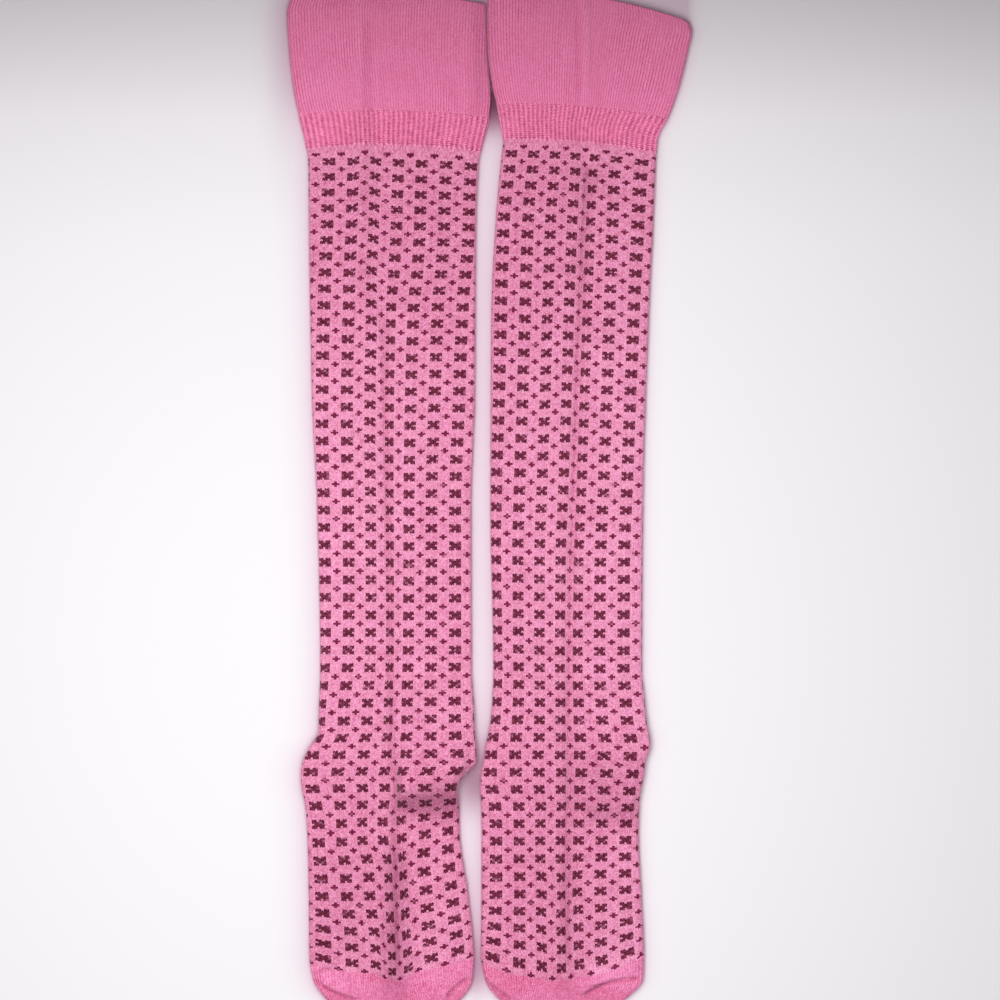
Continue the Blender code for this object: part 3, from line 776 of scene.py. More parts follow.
def add_piece(name, mesh):
    piece = bpy.data.objects.new(name, mesh)
    bpy.context.scene.collection.objects.link(piece)
    return piece


def keep(mesh, attribute, values):
    """Keeps a number for each point in an attribute of the mesh."""
    layer = mesh.attributes.new(attribute, "FLOAT", "POINT")
    layer.data.foreach_set("value", values.astype(np.float32))


def tucked(points, depths):
    """Rings let down into the cloth on the front and back, by a depth for each ring."""
    lowered = points.copy()
    heights = points[:, :, 2]
    middle = (heights.max(axis=1, keepdims=True) + heights.min(axis=1, keepdims=True)) / 2
    lowered[:, :, 2] -= depths[:, None] * np.sign(heights - middle)
    return lowered


def tube(name, form, outer_repeats, inner_repeats, tucks=(0.0, 0.0)):
    """An open knitted tube, with its two walls joined at both ends."""
    shell = Shell(form)
    _, outer_rings, inner_rings = shell.walls(outer_repeats, inner_repeats, WALL, tucks)
    shell.rim(outer_rings[0], inner_rings[0], True)
    shell.rim(outer_rings[-1], inner_rings[-1], False)
    return add_piece(name, shell.mesh(name))


def welt(form, name):
    """The double cuff, with a rounded fold round its open mouth."""
    shell = Shell(form)
    end = BAND_START + TUCK_LENGTH
    lip_rings = []
    for angle in np.radians(LIP_ANGLES):
        share = (1 - math.sin(angle)) / 2
        lip = form.rings([WELT_START], COLUMNS, WELT_WALL, WELT_WALL * share)[0]
        lip[:, 1] += WELT_WALL / 2 * math.cos(angle)
        lip_rings.append(shell.ring(lip, COLUMNS, REPEAT_STITCHES * WELT_START - math.cos(angle), 1.0))
    _, outer_rings, inner_rings = shell.walls(
        spread(WELT_START, end, WELT_STEP),
        spread(WELT_START, end, INSIDE_STEP),
        WELT_WALL,
        (0.0, TUCK_DEPTH),
        lip_rings[::-1],
    )
    shell.rim(lip_rings[-1], inner_rings[0], True)
    shell.rim(outer_rings[-1], inner_rings[-1], False)
    return add_piece(name, shell.mesh(name))


def rib_band(form, name):
    outer = spread(BAND_START, LEG_START, BAND_STEP)
    inner = spread(BAND_START, LEG_START, INSIDE_STEP)
    return tube(name, form, outer, inner)


def leg(form, name):
    """The patterned tube, from under the end of the rib band to the toe."""
    start, end = LEG_START - TUCK_LENGTH, TOE_SEAM + TUCK_LENGTH
    outer = [start] + spread(start + TUCK_LENGTH, HEEL_START, LEG_STEP)
    outer += spread(HEEL_START, HEEL_END, HEEL_STEP)[1:]
    outer += spread(HEEL_END, TOE_SEAM, FOOT_STEP)[1:] + [end]
    inner = spread(start, end, INSIDE_STEP)
    return tube(name, form, outer, inner, (TUCK_DEPTH, TUCK_DEPTH))


def toe_cap(form, name):
    """The closed toe: its walls come together at the tip, in the line of the linked seam."""
    shell = Shell(form)
    outer, outer_rings, inner_rings = shell.walls(
        spread(TOE_SEAM, TOE_END, TOE_STEP),
        spread(TOE_SEAM, TOE_HOLLOW_END, INSIDE_TOE_STEP),
        WALL,
    )
    shell.rim(outer_rings[0], inner_rings[0], True)
    tip = outer[-1]
    middle = (tip[:, 2].max() + tip[:, 2].min()) / 2
    for share, forward in TOE_TIP:
        closing = tip.copy()
        closing[:, 2] = middle + (tip[:, 2] - middle) * share
        closing[:, 0] = tip[:, 0].mean() + (tip[:, 0] - tip[:, 0].mean()) * (0.97 + 0.03 * share)
        closing[:, 1] -= forward
        ring = shell.ring(closing, COLUMNS, REPEAT_STITCHES * TOE_END + forward, 1.0)
        shell.band(outer_rings[-1], ring)
        outer_rings.append(ring)
    shell.cap(outer_rings[-1], True)
    shell.cap(inner_rings[-1], False)
    return add_piece(name, shell.mesh(name))


def heel_pouch(form, name):
    """The heel pocket, folded flat under the ankle."""
    lifted = [row.y for row in form.sock.edges if row.lift >= POUCH_LEAST_LIFT]
    high, low = max(lifted), min(lifted)
    upper_layer = [PouchEdge(1 - edge.level, edge.inward) for edge in reversed(POUCH_LAYER)]
    layers = [*POUCH_LAYER, POUCH_NICK, *upper_layer]
    shares = np.arange(1, POUCH_COLUMNS) / POUCH_COLUMNS
    shell = Shell(form)
    rings = []
    for i in range(POUCH_ROWS + 1):
        up = math.sin(math.pi / 2 * (1 - i / POUCH_ROWS))
        y = low + (high - low) * up
        left, right, lift = (float(form.edge[key](y)) for key in ("left", "right", "lift"))
        height = lift - POUCH_GAP
        middle = (right + left) / 2
        rounding = max(1 - up**POUCH_ROUNDNESS, POUCH_LEAST_SHARE) ** (1 / POUCH_ROUNDNESS)
        half = ((right - left) / 2 - POUCH_INSET) * rounding
        ring = [(middle - half + edge.inward, y, height * edge.level) for edge in layers]
        ring += [(middle - half + 2 * half * share, y, height) for share in shares]
        ring += [(middle + half - edge.inward, y, height * edge.level) for edge in reversed(layers)]
        ring += [(middle + half - 2 * half * share, y, 0.0) for share in shares]
        points = np.array(ring)
        wales = (points[:, 0] - middle) / WALE_WIDTH + WALES_ROUND / 2
        rings.append(shell.ring(points, wales, -y / COURSE_LENGTH, 0.0))
    shell.bands(rings)
    shell.cap(rings[0], False)
    shell.cap(rings[-1], True)
    return add_piece(name, shell.mesh(name))


# ---------------------------------------------------------------- node trees


def math_method(operation, reflected=False):
    """A method of Wire that adds a Math node for its own value and the others."""

    def method(self, *others):
        values = (*others, self) if reflected else (self, *others)
        return self.graph.node("ShaderNodeMath", {"operation": operation}, values)

    return method


class Wire:
    """A value that varies over a surface. Arithmetic on it adds Math nodes."""

    __add__, __radd__ = math_method("ADD"), math_method("ADD", reflected=True)
    __sub__, __rsub__ = math_method("SUBTRACT"), math_method("SUBTRACT", reflected=True)
    __mul__, __rmul__ = math_method("MULTIPLY"), math_method("MULTIPLY", reflected=True)
    __truediv__, __rtruediv__ = math_method("DIVIDE"), math_method("DIVIDE", reflected=True)
    __pow__, __mod__ = math_method("POWER"), math_method("FLOORED_MODULO")
    __gt__, __lt__ = math_method("GREATER_THAN"), math_method("LESS_THAN")
    __abs__ = math_method("ABSOLUTE")
    floor, fraction = math_method("FLOOR"), math_method("FRACT")
    cosine, exponential = math_method("COSINE"), math_method("EXPONENT")
    larger, smaller = math_method("MAXIMUM"), math_method("MINIMUM")

    def __init__(self, graph, socket):
        self.graph = graph
        self.socket = socket

    def output(self, name):
        """Another output of the node that this value comes from."""
        return Wire(self.graph, self.socket.node.outputs[name])


class Graph:
    """A node tree that is built from expressions."""

    def __init__(self, tree):
        self.tree = tree

    def node(self, kind, settings=None, inputs=(), output=0):
        """Adds a node: its settings, then the values or links of its sockets, by number or by name."""
        made = self.tree.nodes.new(kind)
        for name, value in (settings or {}).items():
            setattr(made, name, value)
        items = inputs.items() if isinstance(inputs, dict) else enumerate(inputs)
        for key, value in items:
            if isinstance(value, Wire):
                self.tree.links.new(value.socket, made.inputs[key])
            else:
                made.inputs[key].default_value = value
        return Wire(self, made.outputs[output]) if made.outputs else None

    def mix(self, share, one, other, blend="MIX"):
        """A colour between two others."""
        made = self.tree.nodes.new("ShaderNodeMix")
        made.data_type = "RGBA"
        made.blend_type = blend
        sockets = {socket.identifier: socket for socket in made.inputs}
        for key, value in (("Factor_Float", share), ("A_Color", one), ("B_Color", other)):
            if isinstance(value, Wire):
                self.tree.links.new(value.socket, sockets[key])
            elif key == "Factor_Float":
                sockets[key].default_value = value
            else:
                sockets[key].default_value = (*value, 1.0)
        outputs = {socket.identifier: socket for socket in made.outputs}
        return Wire(self, outputs["Result_Color"])

    def split(self, vector):
        """A vector's X, as the first of its three outputs X, Y and Z."""
        return self.node("ShaderNodeSeparateXYZ", {}, [vector])

    def noise(self, place, scale, detail, output="Fac"):
        inputs = {"Vector": place, "Scale": scale, "Detail": detail}
        return self.node("ShaderNodeTexNoise", {"noise_dimensions": "3D"}, inputs, output)

    def attribute(self, name):
        """A number that the mesh keeps for each point, in a material."""
        return self.node("ShaderNodeAttribute", {"attribute_name": name}).output("Fac")

    def surface(self, kind, inputs):
        """Ends a material with its shader."""
        shader = self.node(kind, {}, inputs)
        self.node("ShaderNodeOutputMaterial", {}, {"Surface": shader})


# ---------------------------------------------------------------- Geometry Nodes


def geometry_tree(name, sockets):
    """A new Geometry Nodes tree with these inputs, and its Graph and input node."""
    tree = bpy.data.node_groups.new(name, "GeometryNodeTree")
    tree.interface.new_socket("Geometry", in_out="OUTPUT", socket_type="NodeSocketGeometry")
    tree.interface.new_socket("Geometry", in_out="INPUT", socket_type="NodeSocketGeometry")
    for label, kind in sockets:
        tree.interface.new_socket(label, in_out="INPUT", socket_type=f"NodeSocket{kind}")
    graph = Graph(tree)
    given = graph.node("NodeGroupInput")
    return graph, given


def end_tree(graph, geometry, given):
    realized = graph.node("GeometryNodeRealizeInstances", {}, {"Geometry": geometry})
    finished = graph.node(
        "GeometryNodeSetMaterial", {}, {"Geometry": realized, "Material": given.output("Material")}
    )
    graph.node("NodeGroupOutput", {}, {"Geometry": finished})
    return graph.tree


def kept_value(graph, name):
    """A number that the mesh keeps for each point, in Geometry Nodes."""
    return graph.node("GeometryNodeInputNamedAttribute", {"data_type": "FLOAT"}, {"Name": name})


def upward_share(graph):
    """1 where the cloth looks straight up, 0 at its side folds and -1 on its underside."""
    return graph.split(graph.node("GeometryNodeInputNormal")).output("Z")


def knit_relief_tree():
    """Raises the wales and stitches of a knitted wall along its normals."""
    graph, given = geometry_tree(
        "knit relief",
        (
            ("Wales To A Rib", "Float"),
            ("Rib Height", "Float"),
            ("Stitch Height", "Float"),
            ("Unevenness", "Float"),
            ("Unevenness Size", "Float"),
            ("Material", "Material"),
        ),
    )
    rib_height, stitch_height = given.output("Rib Height"), given.output("Stitch Height")
    unevenness = given.output("Unevenness")
    wale, course, outside = (kept_value(graph, name) for name in ("wale", "course", "outside"))
    turn = 2 * math.pi
    across = ((wale - 0.5) * turn / given.output("Wales To A Rib")).cosine()
    along = (course * turn).cosine()
    ridge = 0.5 + 0.5 * across
    beads = along * (ridge * 2 - 1)
    noise = graph.noise(graph.node("GeometryNodeInputPosition"), 1 / given.output("Unevenness Size"), 2.0)
    height = rib_height * (ridge - 0.5) + stitch_height * beads * 0.5 + unevenness * (noise - 0.5) * 2
    highest = rib_height * 0.5 + stitch_height * 0.5 + unevenness
    height = height - highest * (upward_share(graph) < -0.5)
    offset = graph.node(
        "ShaderNodeVectorMath",
        {"operation": "SCALE"},
        {"Vector": graph.node("GeometryNodeInputNormal"), "Scale": height * outside},
    )
    moved = graph.node(
        "GeometryNodeSetPosition", {}, {"Geometry": given.output("Geometry"), "Offset": offset}
    )
    return end_tree(graph, moved, given)


def fuzz_tree():
    """Loose fibres that stand off the knitted surface, each a short bent hair."""
    graph, given = geometry_tree(
        "fuzz",
        (
            ("Fibres To A Square Metre", "Float"),
            ("Fibres At The Folds", "Float"),
            ("Fibre Length", "Float"),
            ("Fibre Radius", "Float"),
            ("Seed", "Int"),
            ("Material", "Material"),
        ),
    )
    outside, upward = kept_value(graph, "outside"), upward_share(graph)
    at_fold = abs(upward) < FOLD_MOST_UPWARD
    plain_count = given.output("Fibres To A Square Metre")
    scattered = graph.node(
        "GeometryNodeDistributePointsOnFaces",
        {"distribute_method": "RANDOM"},
        {
            "Mesh": given.output("Geometry"),
            "Selection": (outside > 0.5) * (upward > FIBRE_LEAST_UPWARD),
            "Density": plain_count + (given.output("Fibres At The Folds") - plain_count) * at_fold,
            "Seed": given.output("Seed"),
        },
    )

    def random_vector(low, high, seed):
        return graph.node(
            "FunctionNodeRandomValue", {"data_type": "FLOAT_VECTOR"}, {0: low, 1: high, "Seed": seed}
        )

    lean = random_vector((-0.8, -0.8, -0.1), (0.8, 0.8, 0.8), 3)
    direction = graph.node(
        "ShaderNodeVectorMath", {"operation": "ADD"}, [scattered.output("Normal"), lean]
    )
    rotation = graph.node("FunctionNodeAlignRotationToVector", {"axis": "Z"}, {"Vector": direction})
    spun = graph.node(
        "FunctionNodeRotateRotation",
        {"rotation_space": "LOCAL"},
        [
            rotation,
            graph.node(
                "FunctionNodeEulerToRotation", {}, [random_vector((0.0, 0.0, 0.0), (0.0, 0.0, 6.28), 5)]
            ),
        ],
    )
    hair = graph.node(
        "GeometryNodeCurveQuadraticBezier",
        {},
        {"Resolution": 2, "Start": (0.0, 0.0, -0.15), "Middle": (0.0, 0.05, 0.6), "End": (0.45, 0.1, 0.8)},
    )
    profile = graph.node(
        "GeometryNodeCurvePrimitiveCircle",
        {"mode": "RADIUS"},
        {"Resolution": 3, "Radius": given.output("Fibre Radius") / given.output("Fibre Length")},
    )
    strand = graph.node(
        "GeometryNodeCurveToMesh", {}, {"Curve": hair, "Profile Curve": profile, "Fill Caps": True}
    )
    sizes = {2: 0.5, 3: 1.2, "Seed": 9}
    size = graph.node("FunctionNodeRandomValue", {"data_type": "FLOAT"}, sizes, output=1)
    instanced = graph.node(
        "GeometryNodeInstanceOnPoints",
        {},
        {
            "Points": scattered,
            "Instance": strand,
            "Rotation": spun,
            "Scale": size * given.output("Fibre Length"),
        },
    )
    return end_tree(graph, instanced, given)


def made_by(tree, piece, values):
    """The plain mesh that a Geometry Nodes tree makes of a piece."""
    modifier = piece.modifiers.new(tree.name, "NODES")
    modifier.node_group = tree
    for item in tree.interface.items_tree:
        if item.in_out == "INPUT" and item.name in values:
            modifier[item.identifier] = values[item.name]
    bpy.context.view_layer.update()
    graph = bpy.context.evaluated_depsgraph_get()
    evaluated = piece.evaluated_get(graph)
    mesh = bpy.data.meshes.new_from_object(evaluated, preserve_all_data_layers=True, depsgraph=graph)
    piece.modifiers.remove(modifier)
    return mesh


# Relief: the knit's raised stitches, by the wales in a rib, the heights in millimetres of a rib, a stitch
# and the cloth's unevenness, and the size of its uneven patches.
Relief = namedtuple("Relief", "rib rib_height stitch_height unevenness patch")
WELT_RELIEF = Relief(1.0, 0.16, 0.0, 0.15, 9.0)
BAND_RELIEF = Relief(2.0, 1.10, 0.35, 0.15, 7.0)
LEG_RELIEF = Relief(1.0, 0.10, 0.0, 0.18, 8.0)
TOE_RELIEF = Relief(1.0, 0.25, 0.0, 0.2, 7.0)


def raise_stitches(piece, tree, material, relief):
    """Gives a piece its knit relief and its material."""
    values = {
        "Wales To A Rib": relief.rib,
        "Rib Height": relief.rib_height * MM,
        "Stitch Height": relief.stitch_height * MM,
        "Unevenness": relief.unevenness * MM,
        "Unevenness Size": relief.patch * MM,
        "Material": material,
    }
    mesh = made_by(tree, piece, values)
    mesh.shade_smooth()
    mesh.name = piece.name
    piece.data = mesh
    return piece


# ---------------------------------------------------------------- materials


# Stitch: its wale and course, how far a point is from the wale's middle and along the stitch, from 0 to 1,
# its wale and course as they run on without steps, and its course with the slant of the legs.
Stitch = namedtuple("Stitch", "wale course side along across down slanted")


def stitch_at(graph):
    """The stitch that a point lies on. Its legs slant, and no two are quite alike."""
    place = graph.split(graph.node("ShaderNodeUVMap", {"uv_map": KNIT_MAP}))
    wobble = graph.noise(object_place(graph), WOBBLE_SCALE, 1.0, output="Color")
    shift = graph.node("ShaderNodeSeparateColor", {}, [wobble])
    across = place.output("X") + (shift.output("Red") - 0.5) * STITCH_WOBBLE
    down = place.output("Y") + (shift.output("Green") - 0.5) * STITCH_WOBBLE
    side = abs(across.fraction() * 2 - 1)
    slanted = down - side * STITCH_SLANT + STITCH_SLANT / 2
    return Stitch(across.floor(), slanted.floor(), side, slanted.fraction(), across, down, slanted)


def object_place(graph):
    return graph.node("ShaderNodeTexCoord").output("Object")


def stitch_noise(graph, stitch, seed, parts=1):
    """A number from 0 to 1 for each stitch, or for each of its parts."""
    cell = [(stitch.across * parts).floor(), (stitch.slanted * parts).floor(), seed]
    cell = graph.node("ShaderNodeCombineXYZ", {}, cell)
    return graph.node("ShaderNodeTexWhiteNoise", {"noise_dimensions": "3D"}, [cell])


def cloud(graph, place, size):
    """Soft noise round 0, with patches of about this size."""
    return graph.noise(place, 1 / size, 2.0) - 0.5


def yarn_height(stitch):
    """The two legs of each stitch, round across and dipping where the next stitch passes over them."""
    leg_round = 1 - (stitch.side * 2 - 1) ** 2
    arch = 1 - (stitch.along * 2 - 1) ** 2
    return leg_round.larger(0.0) ** 0.6 * (0.45 + 0.55 * arch)


def yarn_light(graph, stitch, gap_shade, speckle, clouds):
    """How much lighter or darker the yarn looks: unevenly from stitch to stitch and from wale to wale, with
    painted shade in the gaps between wales, which shows more in some patches than in others."""
    streaks = graph.node("ShaderNodeCombineXYZ", {}, [stitch.wale * 0.71, stitch.down * 0.035, 0.0])
    gap = stitch.side**2 + 0.3 * (stitch.along * 2 - 1) ** 4
    place = object_place(graph)
    lines = (1 + cloud(graph, place, LINE_PATCH) * 3.0).larger(0.0)
    return (
        (stitch_noise(graph, stitch, 1.0, 2) - 0.5) * speckle
        + cloud(graph, place, SMALL_CLOUD) * clouds
        + cloud(graph, place, LARGE_CLOUD) * clouds
        + cloud(graph, streaks, 1.0) * 0.20
        # painted shade in the gaps between wales and between courses
        - (gap - 0.39) * lines * gap_shade
    )


def lit_yarn(graph, colour, light, red_share):
    """The yarn's colour made lighter or darker by its own unevenness and by the painted light and shade of
    the folds. Light yarn is also paler, and dark yarn deeper, while the folds' painted shade only darkens
    it."""
    # the folds' painted light adds to the yarn's own, and their painted shade darkens it
    folds = graph.attribute("lightness")
    light, shade = light + folds.larger(0.0), folds.smaller(0.0)
    channels = [
        (1 + light * own).larger(0.0) * (1 + shade * folded).larger(0.0)
        for own, folded in ((red_share, RED_PAINTED_SHADE_SHARE), GREEN_SHARES, BLUE_SHARES)
    ]
    return graph.mix(1.0, colour, graph.node("ShaderNodeCombineColor", {}, channels), "MULTIPLY")


def knit_finish(graph, colour, height):
    """Matt, slightly fuzzy yarn, with painted light where the cloth turns down at the side folds."""
    normal = graph.node("ShaderNodeNewGeometry").output("Normal")
    # painted light on the side folds, which face away from the overhead light
    turned = 1 - abs(graph.split(normal).output("Z"))
    bump = {"Height": height, "Strength": 0.6, "Distance": 0.0004}
    graph.surface(
        "ShaderNodeBsdfPrincipled",
        {
            "Base Color": graph.mix(turned * turned * 0.5, colour, FIBRE_PALE_AND_PAINTED_RIM_LIGHT),
            "Normal": graph.node("ShaderNodeBump", {}, bump),
            "Roughness": 0.95,
            "Specular IOR Level": 0.05,
            "Sheen Weight": 0.03,
            "Sheen Roughness": 0.5,
            "Sheen Tint": (1.0, 0.82, 0.9, 1.0),
        },
    )


def new_material(name, colour):
    material = bpy.data.materials.new(name)
    material.use_nodes = True
    material.node_tree.nodes.clear()
    material.diffuse_color = (*colour, 1.0)
    return material, Graph(material.node_tree)


def plain_knit(name, gap_shade, speckle, clouds):
    """The plain pink yarn of the welt and toe."""
    material, graph = new_material(name, PLAIN_PINK)
    stitch = stitch_at(graph)
    light = yarn_light(graph, stitch, gap_shade, speckle, clouds) + 0.02
    knit_finish(graph, lit_yarn(graph, PLAIN_PINK, light, red_share=0.45), yarn_height(stitch))
    return material


def valley_between_ribs(stitch):
    """1 along the purl wales of a 1x1 rib, and 0 along its ridges."""
    return 0.5 - 0.5 * ((stitch.across - 1) * math.pi).cosine()


def near_course(stitch, course, reach):
    """1 at a course, falling off to 0 within a few courses of it."""
    return (1 - abs(stitch.down - course) / reach).larger(0.0)


def ribbed_knit():
    """The same yarn in the rib band, with painted highlights on its puffy ridges and painted shade in the
    holes between them.
    """
    material, graph = new_material("ribbed pink knit", PLAIN_PINK)
    stitch = stitch_at(graph)
    valley = valley_between_ribs(stitch)
    bead = ((stitch.down + stitch.across * 0.5) * 2 * math.pi).cosine()
    ends = near_course(stitch, REPEAT_STITCHES * BAND_START + 0.8, 1.6)
    ends = ends + near_course(stitch, REPEAT_STITCHES * LEG_START - 0.6, 1.2)
    # painted shade in the holes between the ribs, deepest at the band's first and last courses
    dark = valley * (0.50 + 0.56 * bead + 0.14 * ends)
    light = yarn_light(graph, stitch, gap_shade=0.0, speckle=0.6, clouds=0.20)
    # the painted shade, and a painted highlight on the beads along the ridges
    light = light + 0.27 - dark + (1 - valley) * bead * 0.85
    knit_finish(graph, lit_yarn(graph, PLAIN_PINK, light, red_share=0.8), yarn_height(stitch))
    return material


def patterned_knit():
    """The pink leg with maroon blossoms and wine crosses, charted on the stitches. A blossom is five
    stitches square with a notch in each side, and a cross has arms a stitch long."""
    material, graph = new_material("patterned pink knit", GROUND_PINK)
    stitch = stitch_at(graph)
    half = REPEAT_STITCHES / 2
    from_blossom = (stitch.across - 0.5 + half) % REPEAT_STITCHES - half
    across = abs(from_blossom)
    down = abs((stitch.slanted - 0.5 + half) % REPEAT_STITCHES - half)
    column = ((stitch.across - 0.5 + half) / REPEAT_STITCHES).floor() % 3
    in_square = (across < BLOSSOM_HALF) * (down < BLOSSOM_HALF)
    notch = (across < NOTCH_ACROSS) * (down > NOTCH_START) + (down < NOTCH_DOWN) * (across > NOTCH_START)
    blossom = in_square * (1 - notch.smaller(1.0))
    right_bar = (abs(column - 1) < 0.5) * (abs(from_blossom - 2) < 0.6)
    left_bar = (abs(column - 2) < 0.5) * (abs(from_blossom + 2) < 0.6)
    blossom = blossom.larger((right_bar + left_bar) * (down < 0.5) * 0.8)
    cross_across = abs(across - half)
    cross_down = abs((stitch.down - 0.5) % REPEAT_STITCHES - half)
    arms = (cross_across.smaller(cross_down) < CROSS_HALF) * (cross_across.larger(cross_down) < CROSS_REACH)
    patterned = stitch.course > FIRST_PATTERN_COURSE - 0.5
    speck = stitch_noise(graph, stitch, 4.0, 2)
    faint = (stitch_noise(graph, stitch, 7.0) > 0.93) * 0.35
    # painted shade at the ends of the rib band's valleys, where the leg starts
    join_painted_shade = near_course(stitch, REPEAT_STITCHES * LEG_START + 0.3, 0.9) * valley_between_ribs(stitch)
    light = yarn_light(graph, stitch, gap_shade=0.05, speckle=0.66, clouds=0.24) + 0.02 - join_painted_shade * 0.45
    ground = lit_yarn(graph, GROUND_PINK, light, red_share=0.64)
    shaded = light * 0.7 - 0.05
    maroon, wine = (
        lit_yarn(graph, graph.mix(speck, *pair), shaded, red_share=0.8)
        for pair in ((BLOSSOM_MAROON, BLOSSOM_DARK), (CROSS_WINE, CROSS_DARK))
    )
    colour = graph.mix(blossom * patterned * (0.97 - faint), ground, maroon)
    colour = graph.mix(arms * patterned * (0.96 - faint), colour, wine)
    knit_finish(graph, colour, yarn_height(stitch))
    return material


def fibre():
    material, graph = new_material("loose pink fibre", FIBRE_PINK)
    colour = graph.mix(cloud(graph, object_place(graph), LARGE_CLOUD) + 0.5, FIBRE_PINK, FIBRE_PALE_AND_PAINTED_RIM_LIGHT)
    inputs = {"Base Color": colour, "Roughness": 0.9, "Specular IOR Level": 0.1}
    graph.surface("ShaderNodeBsdfPrincipled", inputs)
    return material


# ---------------------------------------------------------------- the scene


def painted_table_shade(forms, x, y):
    """How much painted shade, tinted pink as if by light bounced off them, the socks put on the table: most
    close beside them and in the gap between them.
    """
    total, close = 0.0, []
    for form in forms:
        ends = [course.middle for course in form.sock.courses]
        within = np.clip(y, min(ends), max(ends))
        left, right = form.edge["left"](within) - x, x - form.edge["right"](within)
        distance = np.hypot(np.maximum(np.maximum(left, right), 0.0), y - within)
        total = total + np.exp(-distance / np.where(left > right, SHADE_REACH_LEFT, SHADE_REACH_RIGHT))
        close.append(np.exp(-distance / SHADE_REACH_LEFT))
    return total + SHADE_BETWEEN * close[0] * close[1]


# The painted shadows on the table
def painted_table_shadow(x, y):
    return sum(
        painted_shadow.strength * bell((x - painted_shadow.x) / painted_shadow.width) * bell((y - painted_shadow.y) / painted_shadow.length)
        for painted_shadow in SHADOWS
    )


def grid_lines(half, step):
    """Lines a step apart as far as half on both sides, and one far out on each side."""
    far = np.array((TABLE_REACH / MM,))
    return np.concatenate((-far, np.arange(-half, half + 1.0, step), far))


def stage_floor(forms):
    """A pale table top, with painted shade towards its far edge and close round the socks, and painted
    shadows.
    """
    columns, rows = grid_lines(*TABLE_GRID_ACROSS), grid_lines(*TABLE_GRID_ALONG)
    x, y = (grid.ravel() for grid in np.meshgrid(columns, rows))
    points = np.stack((x * MM, y * MM, np.full_like(x, TABLE_TOP)), axis=1)
    corner = (np.arange(len(rows) - 1)[:, None] * len(columns) + np.arange(len(columns) - 1)).ravel()
    faces = np.stack((corner, corner + 1, corner + 1 + len(columns), corner + len(columns)), axis=1)
    mesh = bpy.data.meshes.new("table top")
    mesh.from_pydata(points.tolist(), [], faces.tolist())
    keep(mesh, "shade", painted_table_shade(forms, x, y))
    keep(mesh, "painted_shadow", painted_table_shadow(x, y))
    floor = add_piece("table_top", mesh)
    material, graph = new_material("pale table", FLOOR_WHITE)
    # painted shade towards the table's far edge
    far_painted_shade = graph.node(
        "ShaderNodeMapRange",
        {"interpolation_type": "SMOOTHSTEP"},
        {
            "Value": graph.split(object_place(graph)).output("Y"),
            "From Min": TABLE_PAINTED_SHADE_FROM,
            "From Max": TABLE_PAINTED_SHADE_TO,
            "To Min": 0.0,
            "To Max": 1.0,
        },
    )
    # painted shade round the socks and painted shadows, taken off the table's colour
    shade, painted_shadow = graph.attribute("shade"), graph.attribute("painted_shadow")
    kept = [
        (shade * -shade_take - painted_shadow * dark).exponential()
        for shade_take, dark in zip(SHADE_TAKES, SHADOW_TAKES)
    ]
    plain = graph.mix(far_painted_shade, FLOOR_WHITE, FLOOR_FAR_PAINTED_SHADE)
    colour = graph.mix(1.0, plain, graph.node("ShaderNodeCombineColor", {}, kept), "MULTIPLY")
    inputs = {"Base Color": colour, "Roughness": 0.85, "Specular IOR Level": 0.1}
    graph.surface("ShaderNodeBsdfPrincipled", inputs)
    mesh.materials.append(material)


def camera():
    data = bpy.data.cameras.new("straight down")
    data.sensor_width = SENSOR_WIDTH
    data.lens = SENSOR_WIDTH * (CAMERA_HEIGHT - FOCUS_HEIGHT) / FIELD_WIDTH
    data.clip_start, data.clip_end = 0.05, 20.0
    eye = bpy.data.objects.new("camera", data)
    eye.location = (PHOTO_CENTRE[0] * MM, PHOTO_CENTRE[1] * MM, CAMERA_HEIGHT * MM)
    bpy.context.scene.collection.objects.link(eye)
    bpy.context.scene.camera = eye


def lights():
    """A broad soft light overhead, and a weak even fill."""
    softbox = bpy.data.lights.new("softbox", "AREA")
    softbox.shape = "RECTANGLE"
    softbox.size, softbox.size_y = SOFTBOX_SIZE
    softbox.energy = SOFTBOX_WATTS
    softbox.color = SOFTBOX_COLOUR
    lamp = bpy.data.objects.new("softbox", softbox)
    lamp.location = SOFTBOX_PLACE
    lamp.visible_camera = False
    bpy.context.scene.collection.objects.link(lamp)
    world = bpy.data.worlds.new("studio")
    world.use_nodes = True
    background = world.node_tree.nodes["Background"]
    background.inputs["Color"].default_value = (*FILL_COLOUR, 1.0)
    background.inputs["Strength"].default_value = FILL_STRENGTH
    bpy.context.scene.world = world
    bpy.context.scene.view_settings.view_transform = "Standard"


def shading_card():
    """The black card, flat above the far edge of the table, which the camera doesn't see."""
    mesh = bpy.data.meshes.new("shading card")
    near, far = CARD_EDGE, CARD_EDGE + CARD_WIDTH
    corners = ((-CARD_WIDTH, near), (CARD_WIDTH, near), (CARD_WIDTH, far), (-CARD_WIDTH, far))
    mesh.from_pydata([(x, y, CARD_HEIGHT) for x, y in corners], [], [(0, 1, 2, 3)])
    card = add_piece("shading_card", mesh)
    card.visible_camera = False
    material, graph = new_material("black card", CARD_BLACK)
    graph.surface("ShaderNodeBsdfDiffuse", {"Color": (*CARD_BLACK, 1.0)})
    mesh.materials.append(material)


def own(piece, slot, *nodes):
    """A finished piece rides on the pair's one body and stands for its solids."""
    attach(piece, BODY)
    if nodes:
        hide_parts(*nodes)


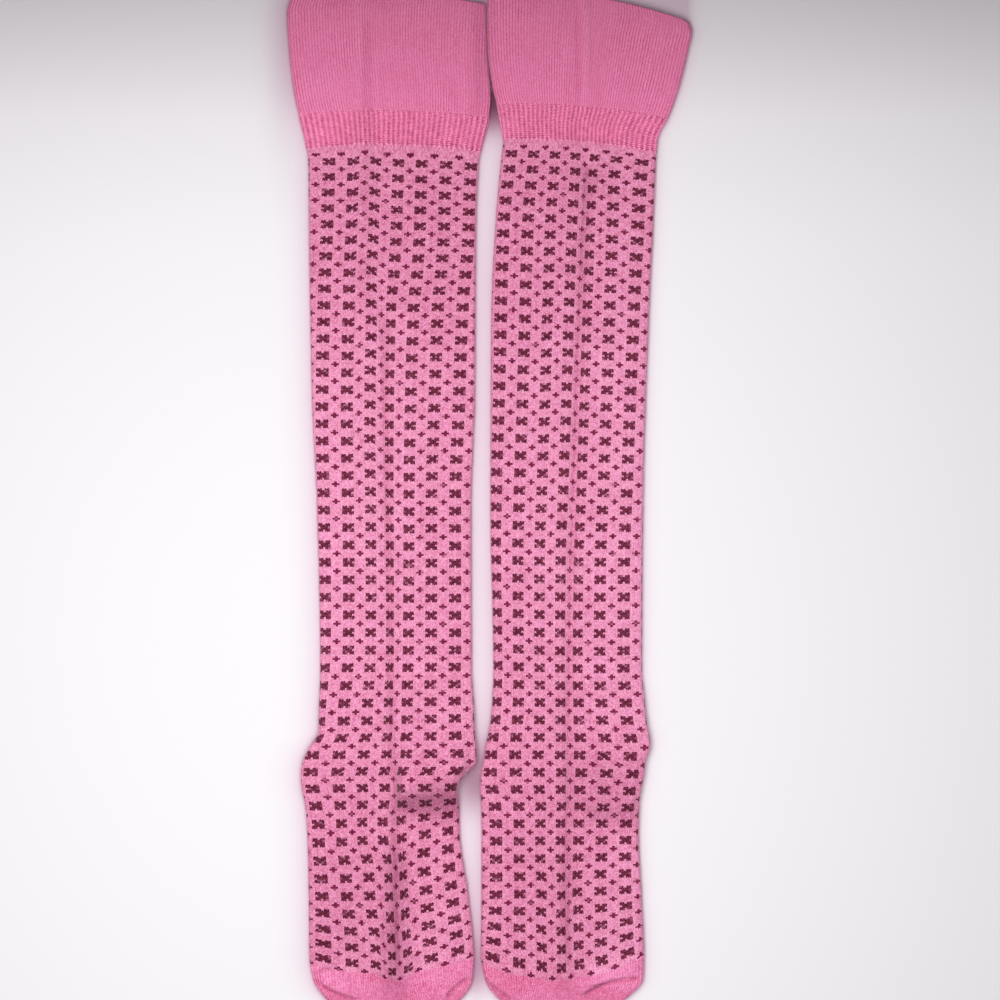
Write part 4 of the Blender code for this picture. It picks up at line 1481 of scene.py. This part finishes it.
def loosen_fibres(piece, fuzz, loose_fibre, slot):
    """Adds the loose fibres on a piece."""
    mesh = made_by(
        fuzz,
        piece,
        {
            "Fibres To A Square Metre": FIBRES_TO_A_SQUARE_METRE,
            "Fibres At The Folds": FIBRES_AT_THE_FOLDS,
            "Fibre Length": FIBRE_LENGTH * MM,
            "Fibre Radius": FIBRE_RADIUS * MM,
            "Seed": FIBRE_SEED,
            "Material": loose_fibre,
        },
    )
    mesh.name = piece.name.replace("_knit", "_fuzz")
    own(add_piece(mesh.name, mesh), slot)


def make_sock(form, relief, fuzz, plain, ribbed, patterned, plain_toe, loose_fibre):
    """The pieces of one sock, and what each stands for."""
    side = form.sock.side
    cuff = raise_stitches(welt(form, f"{side}_welt_knit"), relief, plain, WELT_RELIEF)
    band = raise_stitches(rib_band(form, f"{side}_rib_band_knit"), relief, ribbed, BAND_RELIEF)
    stem = raise_stitches(leg(form, f"{side}_leg_knit"), relief, patterned, LEG_RELIEF)
    toe = raise_stitches(toe_cap(form, f"{side}_toe_cap_knit"), relief, plain_toe, TOE_RELIEF)
    pouch = heel_pouch(form, f"{side}_heel_pouch_knit")
    pouch.data.materials.append(patterned)
    for piece in (cuff, band, stem, toe):
        loosen_fibres(piece, fuzz, loose_fibre, PATTERNED_SLOT if piece is stem else PLAIN_SLOT)
    own(cuff, PLAIN_SLOT, f"{side}_welt")
    own(band, PLAIN_SLOT, f"{side}_rib_band")
    own(stem, PATTERNED_SLOT, f"{side}_leg")
    own(toe, PLAIN_SLOT, f"{side}_toe_cap")
    own(pouch, PATTERNED_SLOT, f"{side}_heel_pouch")


def main():
    forms = [Form(LEFT), Form(RIGHT)]
    camera()
    lights()
    stage_floor(forms)
    shading_card()
    relief, fuzz = knit_relief_tree(), fuzz_tree()
    plain = plain_knit("plain pink knit", gap_shade=0.48, speckle=0.25, clouds=0.13)
    plain_toe = plain_knit("plain pink toe knit", gap_shade=0.42, speckle=0.60, clouds=0.45)
    ribbed, patterned, loose_fibre = ribbed_knit(), patterned_knit(), fibre()
    for form in forms:
        make_sock(form, relief, fuzz, plain, ribbed, patterned, plain_toe, loose_fibre)


main()
